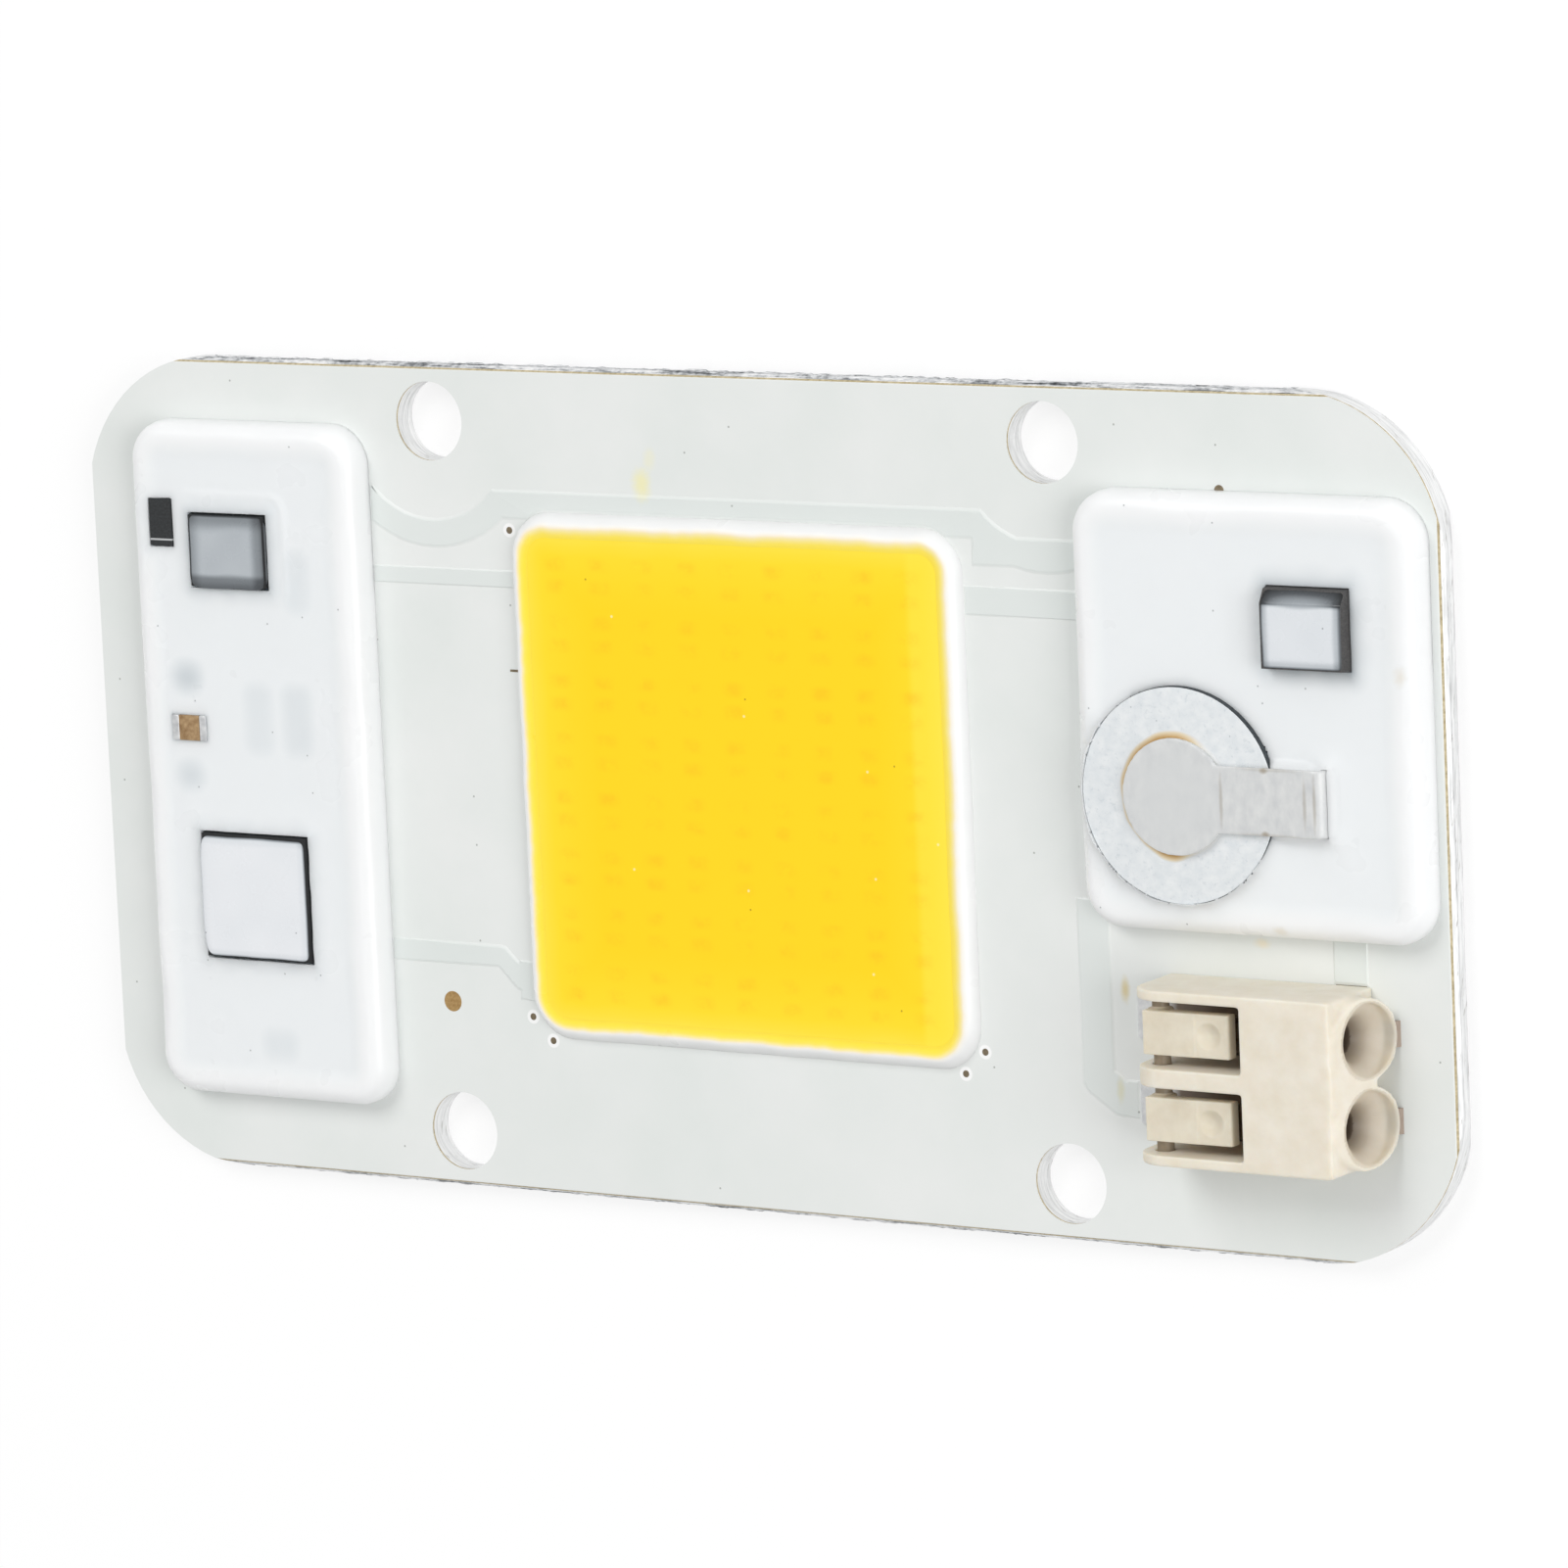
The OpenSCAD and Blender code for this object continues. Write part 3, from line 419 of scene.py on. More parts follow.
# screen-printed white mask: grey-white satin, darker over the copper, with dust and flux stains and a painted
# shade, dark brown, under the terminal; a smear is its middle, half sizes, tone and share
maskMarks = {
    "traceLevel": 1.375, "traceSoft": 0.02, "dust": (2.6, 0.07, 0.1),
    "smears": [((-5.0, 14.6), (0.75, 1.1), "#f3edb4", 0.8), ((-4.5, 15.8), (0.5, 0.8), "#f0edcb", 0.5),
               ((20.3, -7.9), (0.35, 0.8), "#dcc98d", 0.75), ((19.9, -12.6), (0.3, 0.9), "#dfdcb8", 0.6),
               ((27.6, -5.3), (0.6, 0.35), "#efe2c4", 0.6)],
    "shadeUnderTerminal": {"at": (28.1, -11.0), "half": (4.85, 3.9), "inner": 0.97, "square": True},
    "ringHalf": (0.38, 0.38),
    "rings": [(-12.65, 12.15), (-12.65, -11.35), (-11.55, -12.45), (12.65, -11.35), (11.55, -12.45)],
}
printedMask = newMaterial("printedWhiteMask", Roughness=0.4, IOR=1.5)
color = ramp(grain(7, detail=4), [(0.3, "#e5e9e6"), (0.7, "#eceeec")])
level, soft = maskMarks["traceLevel"], maskMarks["traceSoft"]
raised = reached(axes(now["coord"])["Z"], (level - soft) * mm, (level + soft) * mm)
color = over(raised, color, "#dbe2df", 0.5)
for at, half, tone, share in maskMarks["smears"]:
    color = over(spot(at, half, 0.5), color, tone, share)
# painted shade: the board under the terminal, seen only through its gaps, is painted dark brown
color = over(spot(**maskMarks["shadeUnderTerminal"]), color, "#4a3826", 0.92)
for at in maskMarks["rings"]:
    color = over(spot(at, maskMarks["ringHalf"], inner=0.8), color, "#fdfdfc", 0.9)
paint(over(specks(*maskMarks["dust"]), color, "#8d9089", 0.7))
peel = grain(0.3)
roughen(peel, 0.34, 0.48)
bumpy(peel, 0.06, 0.02)


# white silicone: milky so light seeps through it, bluish where it is thin; the shade layer darkens it over
# what it hides, and the film layer yellows it with phosphor and a faint painted glow that lifts shaded flanks
def whiteSilicone(name, pale, deep, dustShare, milky, smears=()):
    mat = newMaterial(name, Roughness=0.3, IOR=1.41, Subsurface_Weight=milky, Emission_Strength=0.1,
                      Subsurface_Radius=(1.0, 1.0, 1.0), Subsurface_Scale=0.7 * mm)
    flow = grain(3.5)
    color = over(flow, ramp(layer("shade"), [(0.0, pale), (1.0, deep)]), "#edf3f5", 0.25)
    film = layer("film")
    stain = ramp(film, [(0.0, "#fffaf0"), (0.25, "#fff0d2"), (0.5, "#ffec9c"), (0.75, "#ffe763"),
                        (1.0, "#ffe446")])
    color = over(reached(film, 0, 0.35), color, stain)
    # painted glow: where the film lies, the silicone shines a faint yellow of its own
    join(ramp(film, [(0.0, "#000000"), (1.0, "#ffd21e")]), now["shader"].inputs["Emission Color"])
    for at, half, tone, share in smears:
        color = over(spot(at, half, 0.6), color, tone, share)
    paint(over(specks(2.2, 0.06, dustShare), color, "#7d8081", 0.6))
    roughen(flow, 0.22, 0.36)
    bumpy(grain(0.8), 0.08, 0.03)
    return mat


# phosphor in clear silicone: saturated yellow, paler to the white bead and on the right, dies faint below;
# the inward layer is the way in from the edge as a share of inwardSpan; a faint painted glow for fluorescence
fieldMarks = {"diePitch": (2.44, 2.8), "diePair": 1.1, "die": (0.85, 0.5), "dieSolid": 0.15,
              "middle": (0.0, 0.4), "pale": (9.5, 10.0), "inwardSpan": 4}
phosphorSilicone = newMaterial("phosphorSilicone", Roughness=0.24, IOR=1.41, Emission_Strength=0.06,
                               Emission_Color=hexColor("#ffd21e"))
inward = layer("inward")
# paler at the edge: the film thins there, and partly painted light against the shade along the bead
color = ramp(inward, [(0.0, "#ffe446"), (0.05, "#ffe342"), (0.12, "#ffe138"), (0.25, "#ffde28"),
                      (0.55, "#ffdb1f"), (0.9, "#ffd816")])
middle = addNode("Mapping", {"Location": tuple(-c * mm for c in fieldMarks["middle"]) + (0,)},
                 {"Vector": now["coord"]}).outputs[0]
across = axes(middle)
halfX, halfY = (pitch / 2 * mm for pitch in fieldMarks["diePitch"])
column = calc("PINGPONG", across["X"], halfX)
row = calc("PINGPONG", calc("ADD", across["Y"], halfY), halfY)
pair = calc("ABSOLUTE", calc("SUBTRACT", row, fieldMarks["diePair"] / 2 * mm))
sides = [reached(away, reach * mm, fieldMarks["dieSolid"] * reach * mm, "SMOOTHSTEP")
         for away, reach in zip((column, pair), fieldMarks["die"])]
patchy = reached(grain(1.4, detail=5, roughness=0.7), 0.38, 0.66)
die = calc("MULTIPLY", calc("MULTIPLY", *sides), patchy)
die = calc("MULTIPLY", die, reached(inward, 0.08, 0.3))
pale = reached(across["X"], *(x * mm for x in fieldMarks["pale"]), "SMOOTHSTEP")
color = over(die, over(pale, color, "#ffea4a", 0.5), "#f9b416", 0.34)
color = over(specks(3.4, 0.09, 0.22), color, "#fff6c0", 0.7)
paint(over(specks(4.1, 0.07, 0.16), color, "#8a6a12", 0.7))
bumpy(grain(2.2), 0.1, 0.05)


# black moulding compound: near-black, fine matt grain
def mouldingCompound(name, dark, pale):
    return evenFinish(name, 0.08, dark, pale, (0.4, 0.02), (0.45, 0.65), Roughness=0.55)


# grey moulded diode with its pale cathode band
bandMark = {"up": 0.36, "half": 0.045}
bandedDiode = newMaterial("bandedMoulding", Roughness=0.5)
sand = grain(0.1)
color = ramp(sand, [(0.3, "#1d1f20"), (0.7, "#323537")])
bandAt = (boxOf("signal_diode")[0].y + bandMark["up"]) * mm
band = calc("COMPARE", axes(now["coord"])["Y"], bandAt, bandMark["half"] * mm)
paint(over(band, color, "#c8cacb", 0.85))
bumpy(sand, 0.3, 0.02)

# silicone skin on a package: the cover layer says how much of the black below it hides
siliconeSkin = newMaterial("siliconeSkin", Roughness=0.26, IOR=1.41)
color = ramp(layer("cover"), [(0.0, "#141516"), (0.25, "#55595d"), (0.5, "#9aa0a5"), (0.6, "#b3b9be"),
                              (0.8, "#dfe3e7"), (1.0, "#f0f2f5")])
paint(over(specks(1.8, 0.06, 0.12), color, "#6f7273", 0.6))
flow = grain(0.9)
roughen(flow, 0.2, 0.34)
bumpy(flow, 0.04, 0.03)

# fired silver paste: pale bluish silver, matt, with pinholes
firedSilver = newMaterial("firedSilver", Metallic=0.2, Roughness=0.45)
paste = grain(0.5, detail=5)
color = ramp(paste, [(0.3, "#e6ebee"), (0.7, "#f4f7f8")])
grit = reached(grain(0.22, detail=4, roughness=0.65), 0.56, 0.7)
color = over(grit, color, "#b4bfc7", 0.28)
paint(over(specks(1.3, 0.05, 0.16), color, "#858d93", 0.5))
bumpy(paste, 0.2, 0.03)

# tinned copper strip under a smear of silicone: pale, with brownish lines at its creases, bends and edges and
# spots at the tab's corners; a mark is its middle, half sizes and share
strapMarks = {
    "head": {"at": (24.5, 1.6), "half": (3.4, 3.4)},
    "bends": [((26.95, 1.6), (0.14, 1.7), 0.6), ((29.2, 3.05), (0.3, 0.2), 0.7),
              ((29.2, 0.15), (0.3, 0.2), 0.7), ((29.4, 3.1), (2.3, 0.14), 0.3),
              ((29.4, 0.1), (2.3, 0.14), 0.3), ((31.25, 1.6), (0.14, 1.6), 0.4),
              ((31.75, 1.6), (0.12, 1.8), 0.45)],
}
tinnedStrap = newMaterial("tinnedStrap", Metallic=0.15, Roughness=0.45)
tin = grain((0.5, 0.9, 0.5), detail=4)
color = ramp(tin, [(0.3, "#d2d4d5"), (0.7, "#e4e5e4")])
for at, half, share in strapMarks["bends"]:
    color = over(spot(at, half, 0.4), color, "#9c8f7a", share)
paint(over(spot(**strapMarks["head"]), color, "#dbdddd", 0.8))
roughen(tin, 0.4, 0.58)
bumpy(tin, 0.2, 0.03)

# rosin left round a joint: amber where the thick layer is high
rosinFlux = newMaterial("rosinFlux", Roughness=0.3, IOR=1.5)
paint(ramp(layer("thick"), [(0.0, "#e6e9eb"), (0.25, "#e2d2b2"), (0.6, "#c99d58"), (1.0, "#94672c")]))
bumpy(grain(0.3), 0.2, 0.03)


# plate, spring steel and drawn wire: soft metal, slightly clouded
def cloudedMetal(name, dark, pale, rough, metal=1.0):
    return evenFinish(name, 0.4, dark, pale, (0.15, 0.02), (rough - 0.08, rough + 0.1), 4, Metallic=metal,
                      Roughness=rough)


# contact sheet tin and its solder: bright at the key end's feet, painted brown shade under the housing
contactMarks = {"brown": (22.5, 23.2)}
contactTin = newMaterial("contactTin", Metallic=0.4, Roughness=0.34)
cloud = grain(0.4, detail=4)
# painted shade: from the housing's edge inwards the tin is painted dark brown
inside = reached(axes(now["coord"])["X"], *(x * mm for x in contactMarks["brown"]))
bright = ramp(cloud, [(0.3, "#dcdee0"), (0.7, "#f6f7f7")])
paint(over(inside, bright, "#6b5640", 0.9))
bumpy(cloud, 0.15, 0.02)


# glass-filled nylon: cream, waxy, slightly mottled; a layer paints brown shade into the gaps and throats
def creamNylon(name, pale, deep):
    mat = newMaterial(name, Roughness=0.48, IOR=1.53, Subsurface_Weight=0.3,
                      Subsurface_Radius=(1.0, 0.75, 0.5), Subsurface_Scale=0.8 * mm)
    color = ramp(grain(1.1, detail=4), [(0.3, deep), (0.7, pale)])
    paintedShade = layer("paintedShade")
    # painted shade: brown to near black, by how deep the layer says the place lies
    shading = ramp(paintedShade, [(0.0, "#b39a78"), (0.5, "#8a7252"), (1.0, "#3d2d1e")])
    paint(over(paintedShade, color, shading))
    skin = grain(0.12)
    roughen(skin, 0.42, 0.56)
    bumpy(skin, 0.12, 0.02)
    return mat


pottingSmears = [((35.95, 7.5), (0.5, 0.7), "#dccdb4", 0.35), ((29.35, -4.4), (0.6, 0.35), "#ddd0b8", 0.4)]
pottingMat = whiteSilicone("pottingSilicone", "#f8fafb", "#82949e", 0.16, 0.6, pottingSmears)
beadMat = whiteSilicone("beadSilicone", "#fbfbfa", "#d9dbda", 0.1, 0.25)
housingMat = creamNylon("creamNylon", "#efe8da", "#e7decc")
keyMat = creamNylon("creamNylonKey", "#e7dfcd", "#dbd1bc")
tinned = cloudedMetal("mattTin", "#c9cbcd", "#f4f5f5", 0.3, 0.45)
springSteel = cloudedMetal("springSteel", "#6d675e", "#9a948a", 0.28)
goldWire = cloudedMetal("drawnGold", "#d9a83c", "#f2cf74", 0.25)
compound = mouldingCompound("mouldingCompound", "#121314", "#26282a")
# the proud package has a breath of silicone on it
dustyCompound = mouldingCompound("dustyCompound", "#343232", "#575554")
# filled epoxy layer: a tan line along every cut
filledEpoxy = evenFinish("filledEpoxy", 0.2, "#a99974", "#cfc09c", (0.3, 0.02), ends=(0.35, 0.65),
                         Roughness=0.6)
# sintered zinc oxide: dark grey, dull
zincOxide = evenFinish("sinteredZincOxide", 0.15, "#262b2e", "#454c51", (0.3, 0.03), Roughness=0.6)
# fired brown ceramic of the capacitor
brownCeramic = evenFinish("brownCeramic", 0.3, "#8b6b45", "#bd9f77", (0.2, 0.02), detail=5, Roughness=0.4)
# sapphire of the dies
clearSapphire = evenFinish("clearSapphire", 0.2, "#a9b6c6", "#cfdae6", Roughness=0.12, IOR=1.77)

# nodes that keep their CAD mesh; the leads and caps among them are tinned
finishes = {
    "dielectric_layer": filledEpoxy, "copper_layer": goldFlashCopper, "led_dies": clearSapphire,
    "bond_wires": goldWire, "driver_ic": compound, "power_ic": compound, "chip_resistors": compound,
    "bridge_rectifier": dustyCompound, "signal_diode": bandedDiode, "terminal_solder": contactTin,
    "contact_clip_1": contactTin, "contact_clip_2": contactTin,
}
for name in nodes:
    mesh = nodes[name].data
    mesh.materials.clear()
    mesh.materials.append(finishes.get(name, tinned))
print("finishes set:", len(bpy.data.materials))

# aluminium plate: its long edges torn along the score, its short ones cut clean
edgeCfg = {"step": 0.2, "rows": 3, "tear": 0.16, "cleanTear": 0.04, "pitch": 0.55, "band": 0.45, "level": 0.9,
           "leastArea": 2, "leastRun": 10, "leastRise": 0.1, "tearSpan": (-0.5, 1.1), "down": -0.99}
rolledSide, tornSide, cutSide = range(3)  # the plate's material slots
plateMats = [rolledAluminium, snappedAluminium, cutAluminium]
plateEnd = boxOf("base_plate")[1]
bm = copyOf("base_plate")


def onScore(face):
    if abs(face.normal.z) > edgeCfg["level"] or face.calc_area() < edgeCfg["leastArea"]:
        return False
    at = face.calc_center_median()
    return abs(at.y) > plateEnd.y - edgeCfg["band"] or abs(at.x) > plateEnd.x - edgeCfg["band"]


def tornEdges():
    return [e for e in bm.edges if any(f.material_index == tornSide for f in e.link_faces)]


makeWhole(bm, [f for f in bm.faces if onScore(f)])
for f in bm.faces:
    f.material_index = tornSide if onScore(f) else rolledSide
longEdges = [e for e in tornEdges() if e.calc_length() > edgeCfg["leastRun"]]
for length in sorted({round(e.calc_length()) for e in longEdges}):
    run = [e for e in longEdges if e.is_valid and round(e.calc_length()) == length]
    bmesh.ops.subdivide_edges(bm, edges=run, cuts=round(length / edgeCfg["step"]), use_grid_fill=True)
upright = [e for e in tornEdges() if abs(e.verts[0].co.z - e.verts[1].co.z) > edgeCfg["leastRise"]]
bmesh.ops.subdivide_edges(bm, edges=upright, cuts=edgeCfg["rows"], use_grid_fill=True)
for v in bm.verts:
    if all(f.material_index == tornSide for f in v.link_faces):
        tear = noise.noise(v.co / edgeCfg["pitch"]) + 0.6 * noise.noise(v.co * 3 / edgeCfg["pitch"])
        deep = smoothStep(tear, *edgeCfg["tearSpan"])
        if abs(v.co.x) > abs(v.co.y) + plateEnd.x - plateEnd.y:
            v.co.x -= math.copysign(edgeCfg["cleanTear"], v.co.x) * deep
        else:
            v.co.y -= math.copysign(edgeCfg["tear"], v.co.y) * deep
for f in bm.faces:
    atEnd = abs(f.calc_center_median().x) > plateEnd.x - edgeCfg["band"]
    if abs(f.normal.z) < edgeCfg["level"] and (f.material_index == rolledSide or atEnd):
        f.material_index = cutSide
bmesh.ops.delete(bm, geom=[f for f in bm.faces if f.normal.z < edgeCfg["down"]], context="FACES")
fillIn(bm, openEdges(bm))  # the back as one clean flat
bmesh.ops.recalc_face_normals(bm, faces=bm.faces)
for f in bm.faces:
    if f.normal.z < edgeCfg["down"]:
        f.material_index = rolledSide
finishPiece("boardCore", bm, plateMats, ["base_plate"], angle=25)

# mask whose steps over the traces slope, as the print flows down them
maskCfg = {"slope": 0.16, "topBand": 0.005, "upright": 0.1}
bm = copyOf("solder_mask")
maskTop = boxOf("solder_mask")[1].z
pulls = []
for v in bm.verts:
    walls = [f.normal for f in v.link_faces if abs(f.normal.z) < maskCfg["upright"]]
    if v.co.z > maskTop - maskCfg["topBand"] and walls:
        pulls.append((v, sum(walls, Vector()).normalized()))
for v, out in pulls:
    v.co -= out * maskCfg["slope"]
bm.normal_update()
finishPiece("whiteMask", bm, [printedMask], ["solder_mask"], angle=0)

# bead of silicone round the light field, laid by a needle so it wanders a little; a yellow film creeps up
# its inner flank and thins out further in on the right and upper sides
beadCfg = {"around": 480, "across": 24, "width": 1.2, "corner": 1.6, "wander": 0.08, "sag": 0.03,
           "crown": 0.065, "roundness": 2.2, "flank": 0.56, "film": (-0.42, 0.2), "filmRagged": 0.05,
           "filmThin": 0.3, "loop": 6}
damLow, damHigh = boxOf("silicone_dam")
fieldMid, damHalf = midHalf(damLow, damHigh)
fieldHalf = damHalf - Vector((beadCfg["width"] / 2, beadCfg["width"] / 2, 0))
gelLevel = boxOf("phosphor_gel")[1].z - 0.005  # a hair below the CAD gel's top


# point and outward direction at a share of the way round a rounded rectangle
def roundPath(t, half, corner):
    runs = [2 * (half.x - corner), math.pi / 2 * corner, 2 * (half.y - corner), math.pi / 2 * corner] * 2
    place = t % 1 * sum(runs)
    turn, start = 0, Vector((-half.x + corner, -half.y))
    for i, run in enumerate(runs):
        ahead = Vector((math.cos(turn), math.sin(turn)))
        out = Vector((ahead.y, -ahead.x))
        if place <= run:
            if i % 2 == 0:
                return start + ahead * place, out
            middle = start - out * corner
            out = Matrix.Rotation(place / corner, 2) @ out
            return middle + out * corner, out
        place -= run
        if i % 2 == 0:
            start = start + ahead * run
        else:
            middle = start - out * corner
            turn += math.pi / 2
            start = middle + Vector((math.sin(turn), -math.cos(turn))) * corner
    return start, out


# grid of one unit, X to run round a piece and Y across it
def unitGrid(bm, cfg):
    return bmesh.ops.create_grid(bm, x_segments=cfg["around"], y_segments=cfg["across"], size=0.5)["verts"]


bm = bmesh.new()
film = bm.verts.layers.float.new("film")
for v in unitGrid(bm, beadCfg):
    along, lean = v.co.x + 0.5, v.co.y * math.pi  # lean goes over the crown, inner to outer foot
    point, out = roundPath(along, fieldHalf, beadCfg["corner"])
    ring = Vector((math.cos(along * 2 * math.pi), math.sin(along * 2 * math.pi), 0)) * beadCfg["loop"]
    side = math.sin(lean) * beadCfg["width"] / 2
    flat = point + out * (side + beadCfg["wander"] * noise.noise(ring) * math.cos(lean))
    sag = beadCfg["sag"] * abs(noise.noise(ring * 1.7 + Vector((5, 0, 0))))
    crest = damHigh.z - zFront - beadCfg["crown"] - sag
    rise = crest * math.cos(lean) ** beadCfg["roundness"]
    if side < 0:  # the inner flank runs out level into the gel, and drops below it
        shore, flank = gelLevel - zFront, beadCfg["flank"]
        rise = shore + (crest - shore) * (1 - smoothStep(-side, 0, flank))
        rise *= 1 - smoothStep(-side, flank, beadCfg["width"] / 2)
    v.co = (fieldMid.x + flat.x, fieldMid.y + flat.y, zFront + rise)
    thinner = beadCfg["filmThin"] * max(0, out.x, out.y)
    yellow, white = beadCfg["film"]
    ragged = side + beadCfg["filmRagged"] * noise.noise(ring * 4)
    v[film] = 1 - smoothStep(ragged, yellow - thinner, white + thinner / 2)
bmesh.ops.remove_doubles(bm, verts=bm.verts, dist=0.002)
closeUnder(bm, zFront)
finishPiece("siliconeBead", bm, [beadMat], ["silicone_dam"])

# phosphor gel: its edge thins out under the bead's flank, in skirts of (inset, height over the board)
gelCfg = {"cell": 0.16, "in": 0.36, "corner": 1.24, "ripple": 0.01, "ragged": 0.12,
          "skirts": [(0.24, 0.42), (0.06, 0.16)], "foot": 0.14}
bm = bmesh.new()
inward = bm.verts.layers.float.new("inward")
gelHalf = fieldHalf - Vector((gelCfg["in"], gelCfg["in"], 0))
planGrid(bm, fieldMid - gelHalf, fieldMid + gelHalf, gelCfg["corner"], gelCfg["cell"])
for v in bm.verts:
    d = edgeDistance(v.co.x, v.co.y, fieldMid, gelHalf, gelCfg["corner"])
    v[inward] = max(0, d + gelCfg["ragged"] * noise.noise(v.co * 0.5)) / fieldMarks["inwardSpan"]
    v.co.z = gelLevel + gelCfg["ripple"] * noise.noise(v.co * 0.35) * smoothStep(d, 0, 1)
for inset, level in gelCfg["skirts"]:
    for v in drawOut(bm, openEdges(bm))[0]:
        v.co.x -= (v.co.x - fieldMid.x) * inset / gelHalf.x
        v.co.y -= (v.co.y - fieldMid.y) * inset / gelHalf.y
        v.co.z = zFront + level
closeUnder(bm, zFront + gelCfg["foot"])
finishPiece("phosphorGel", bm, [phosphorSilicone], ["phosphor_gel"])

# potting: silicone poured round the parts, its rim proud and white, its middle sunk and thin; thin darkens
# the middle, and the grid snaps to a wall that lies within that share of a cell
potCfg = {"cell": 0.11, "corner": 2.0, "edge": 0.85, "fall": 0.95, "rim": (1.0, 1.9), "sag": 0.07,
          "ripple": 0.015, "wobble": 0.16, "wobbleIn": (0, 0.6), "wobbleOut": (1.0, 2.6), "thin": 0.08,
          "thinRim": (0.7, 1.9), "snap": 0.6, "patchy": 0.35, "haloReach": 1.1, "lipSide": (0.8, 0.6),
          "lipWidth": 0.18, "lipRise": 0.06, "blotSoft": (0.7, 0.9)}


# a part in the silicone, which climbs its wall over a reach and lets it show dark over a glow
def nodeIsland(nodeName, climb, reach, dark, glow, **more):
    mid, half = midHalf(*boxOf(nodeName))
    return dict(mid=mid, half=half, climb=climb, reach=reach, dark=dark, glow=glow, **more)


# distance outwards from an island's wall and the way out
def islandAway(island, x, y):
    dx, dy = x - island["mid"].x, y - island["mid"].y
    if "radius" in island:
        reach = math.hypot(dx, dy)
        return reach - island["radius"], dx / max(reach, 1e-6), dy / max(reach, 1e-6)
    qx, qy = abs(dx) - island["half"].x, abs(dy) - island["half"].y
    if qx > 0 and qy > 0:
        reach = math.hypot(qx, qy)
        return reach, math.copysign(qx / reach, dx), math.copysign(qy / reach, dy)
    return (qx, math.copysign(1, dx), 0) if qx > qy else (qy, 0, math.copysign(1, dy))


def pourPotting(name, nodeName, islands, mounds, blots):
    low, high = boxOf(nodeName)
    mid, half = midHalf(low, high)
    edge = potCfg["edge"]
    inner, outer = potCfg["blotSoft"]
    bm = bmesh.new()
    shade = bm.verts.layers.float.new("shade")
    planGrid(bm, low, high, potCfg["corner"], potCfg["cell"])
    for v in bm.verts:
        x, y = v.co.x, v.co.y
        d = edgeDistance(x, y, mid, half, potCfg["corner"])
        climb, dark = 0, potCfg["thin"] * smoothStep(d, *potCfg["thinRim"])
        for island in islands:
            away, ox, oy = islandAway(island, x, y)
            if abs(away) < potCfg["snap"] * potCfg["cell"]:
                x, y, away = x - ox * away, y - oy * away, 0
            out = max(away, 0)
            near = math.exp(-out / island["reach"])
            patchy = 1 + potCfg["patchy"] * ripple(x, y, 0.9, 3)
            bareX, bareY = island.get("bare", (0, 0))  # the side where the silicone shrank from the wall
            bare = max(0, ox * bareX + oy * bareY)
            climb = max(climb, island["climb"] * (1 - bare) * near * patchy)
            climb -= island.get("dip", 0) * bare * near
            seep = island["dark"] * math.exp(-out / island["glow"])
            seep += island.get("halo", 0) * math.exp(-out / potCfg["haloReach"])
            dark = max(dark, seep * patchy)
            if "crest" in island:  # the silicone stands up in a lip a little way out
                facing = max(0, potCfg["lipSide"][0] * ox + potCfg["lipSide"][1] * oy)
                lip = facing * math.exp(-((away - island["crest"]) / potCfg["lipWidth"]) ** 2)
                climb = max(climb, island["climb"] * near + potCfg["lipRise"] * lip)
        z = high.z + climb
        for mound in mounds:
            away = islandAway(mound, x, y)[0]
            z = max(z, high.z + mound["climb"] * (1 - smoothStep(away, 0, mound["reach"])))
        for blot in blots:
            offset = v.co.xy - blot["mid"]
            fade = [1 - smoothStep(abs(c), h - inner, h + outer) for c, h in zip(offset, blot["half"])]
            dark = max(dark, blot["dark"] * fade[0] * fade[1])
        z -= potCfg["sag"] * smoothStep(d, *potCfg["rim"])
        z += potCfg["ripple"] * ripple(x, y, 0.5, 0)
        if d < edge:
            z -= potCfg["fall"] * (1 - math.sqrt(max(0, 1 - ((edge - d) / edge) ** 2)))
        loose = potCfg["wobble"] * smoothStep(d, *potCfg["wobbleIn"])  # foot and middle keep their line
        loose *= 1 - smoothStep(d, *potCfg["wobbleOut"])
        x += loose * ripple(x, y, 0.3, 7)
        y += loose * ripple(x, y, 0.3, 11)
        v.co = (x, y, z)
        v[shade] = min(1, dark)
    hollow = [f for f in bm.faces if min(islandAway(i, *f.calc_center_median().xy)[0] for i in islands) < 0]
    bmesh.ops.delete(bm, geom=hollow, context="FACES")
    closeUnder(bm, zFront)
    finishPiece(name, bm, [pottingMat], [nodeName])


# soft shadow of a part that lies under the surface
def softBlot(x, y, halfX, halfY, dark):
    return {"mid": Vector((x, y)), "half": Vector((halfX, halfY)), "dark": dark}


leftIslands = [
    nodeIsland("driver_ic", 0.2, 0.45, 0.3, 0.3, halo=0.16, crest=0.9),
    nodeIsland("power_ic", 0.24, 0.4, 0.16, 0.3, halo=0.16),
    nodeIsland("signal_diode", 0.04, 0.2, 0.12, 0.2, halo=0.1),
    nodeIsland("capacitor_caps", 0.04, 0.2, 0.3, 0.1, halo=0.06),
]
leftBlots = [
    softBlot(-31.05, 4.5, 0.75, 0.65, 0.42), softBlot(-31.15, -0.33, 0.75, 0.65, 0.32),
    softBlot(-26.9, 2.62, 0.9, 1.8, 0.2), softBlot(-24.6, 2.62, 0.9, 1.8, 0.22),
    softBlot(-24.25, 9.4, 0.8, 1.6, 0.2), softBlot(-26.65, -13.43, 1.1, 0.8, 0.2),
    softBlot(-32.0, -8.4, 0.5, 0.6, 0.12),
]
pourPotting("leftSilicone", "left_potting", leftIslands, [], leftBlots)

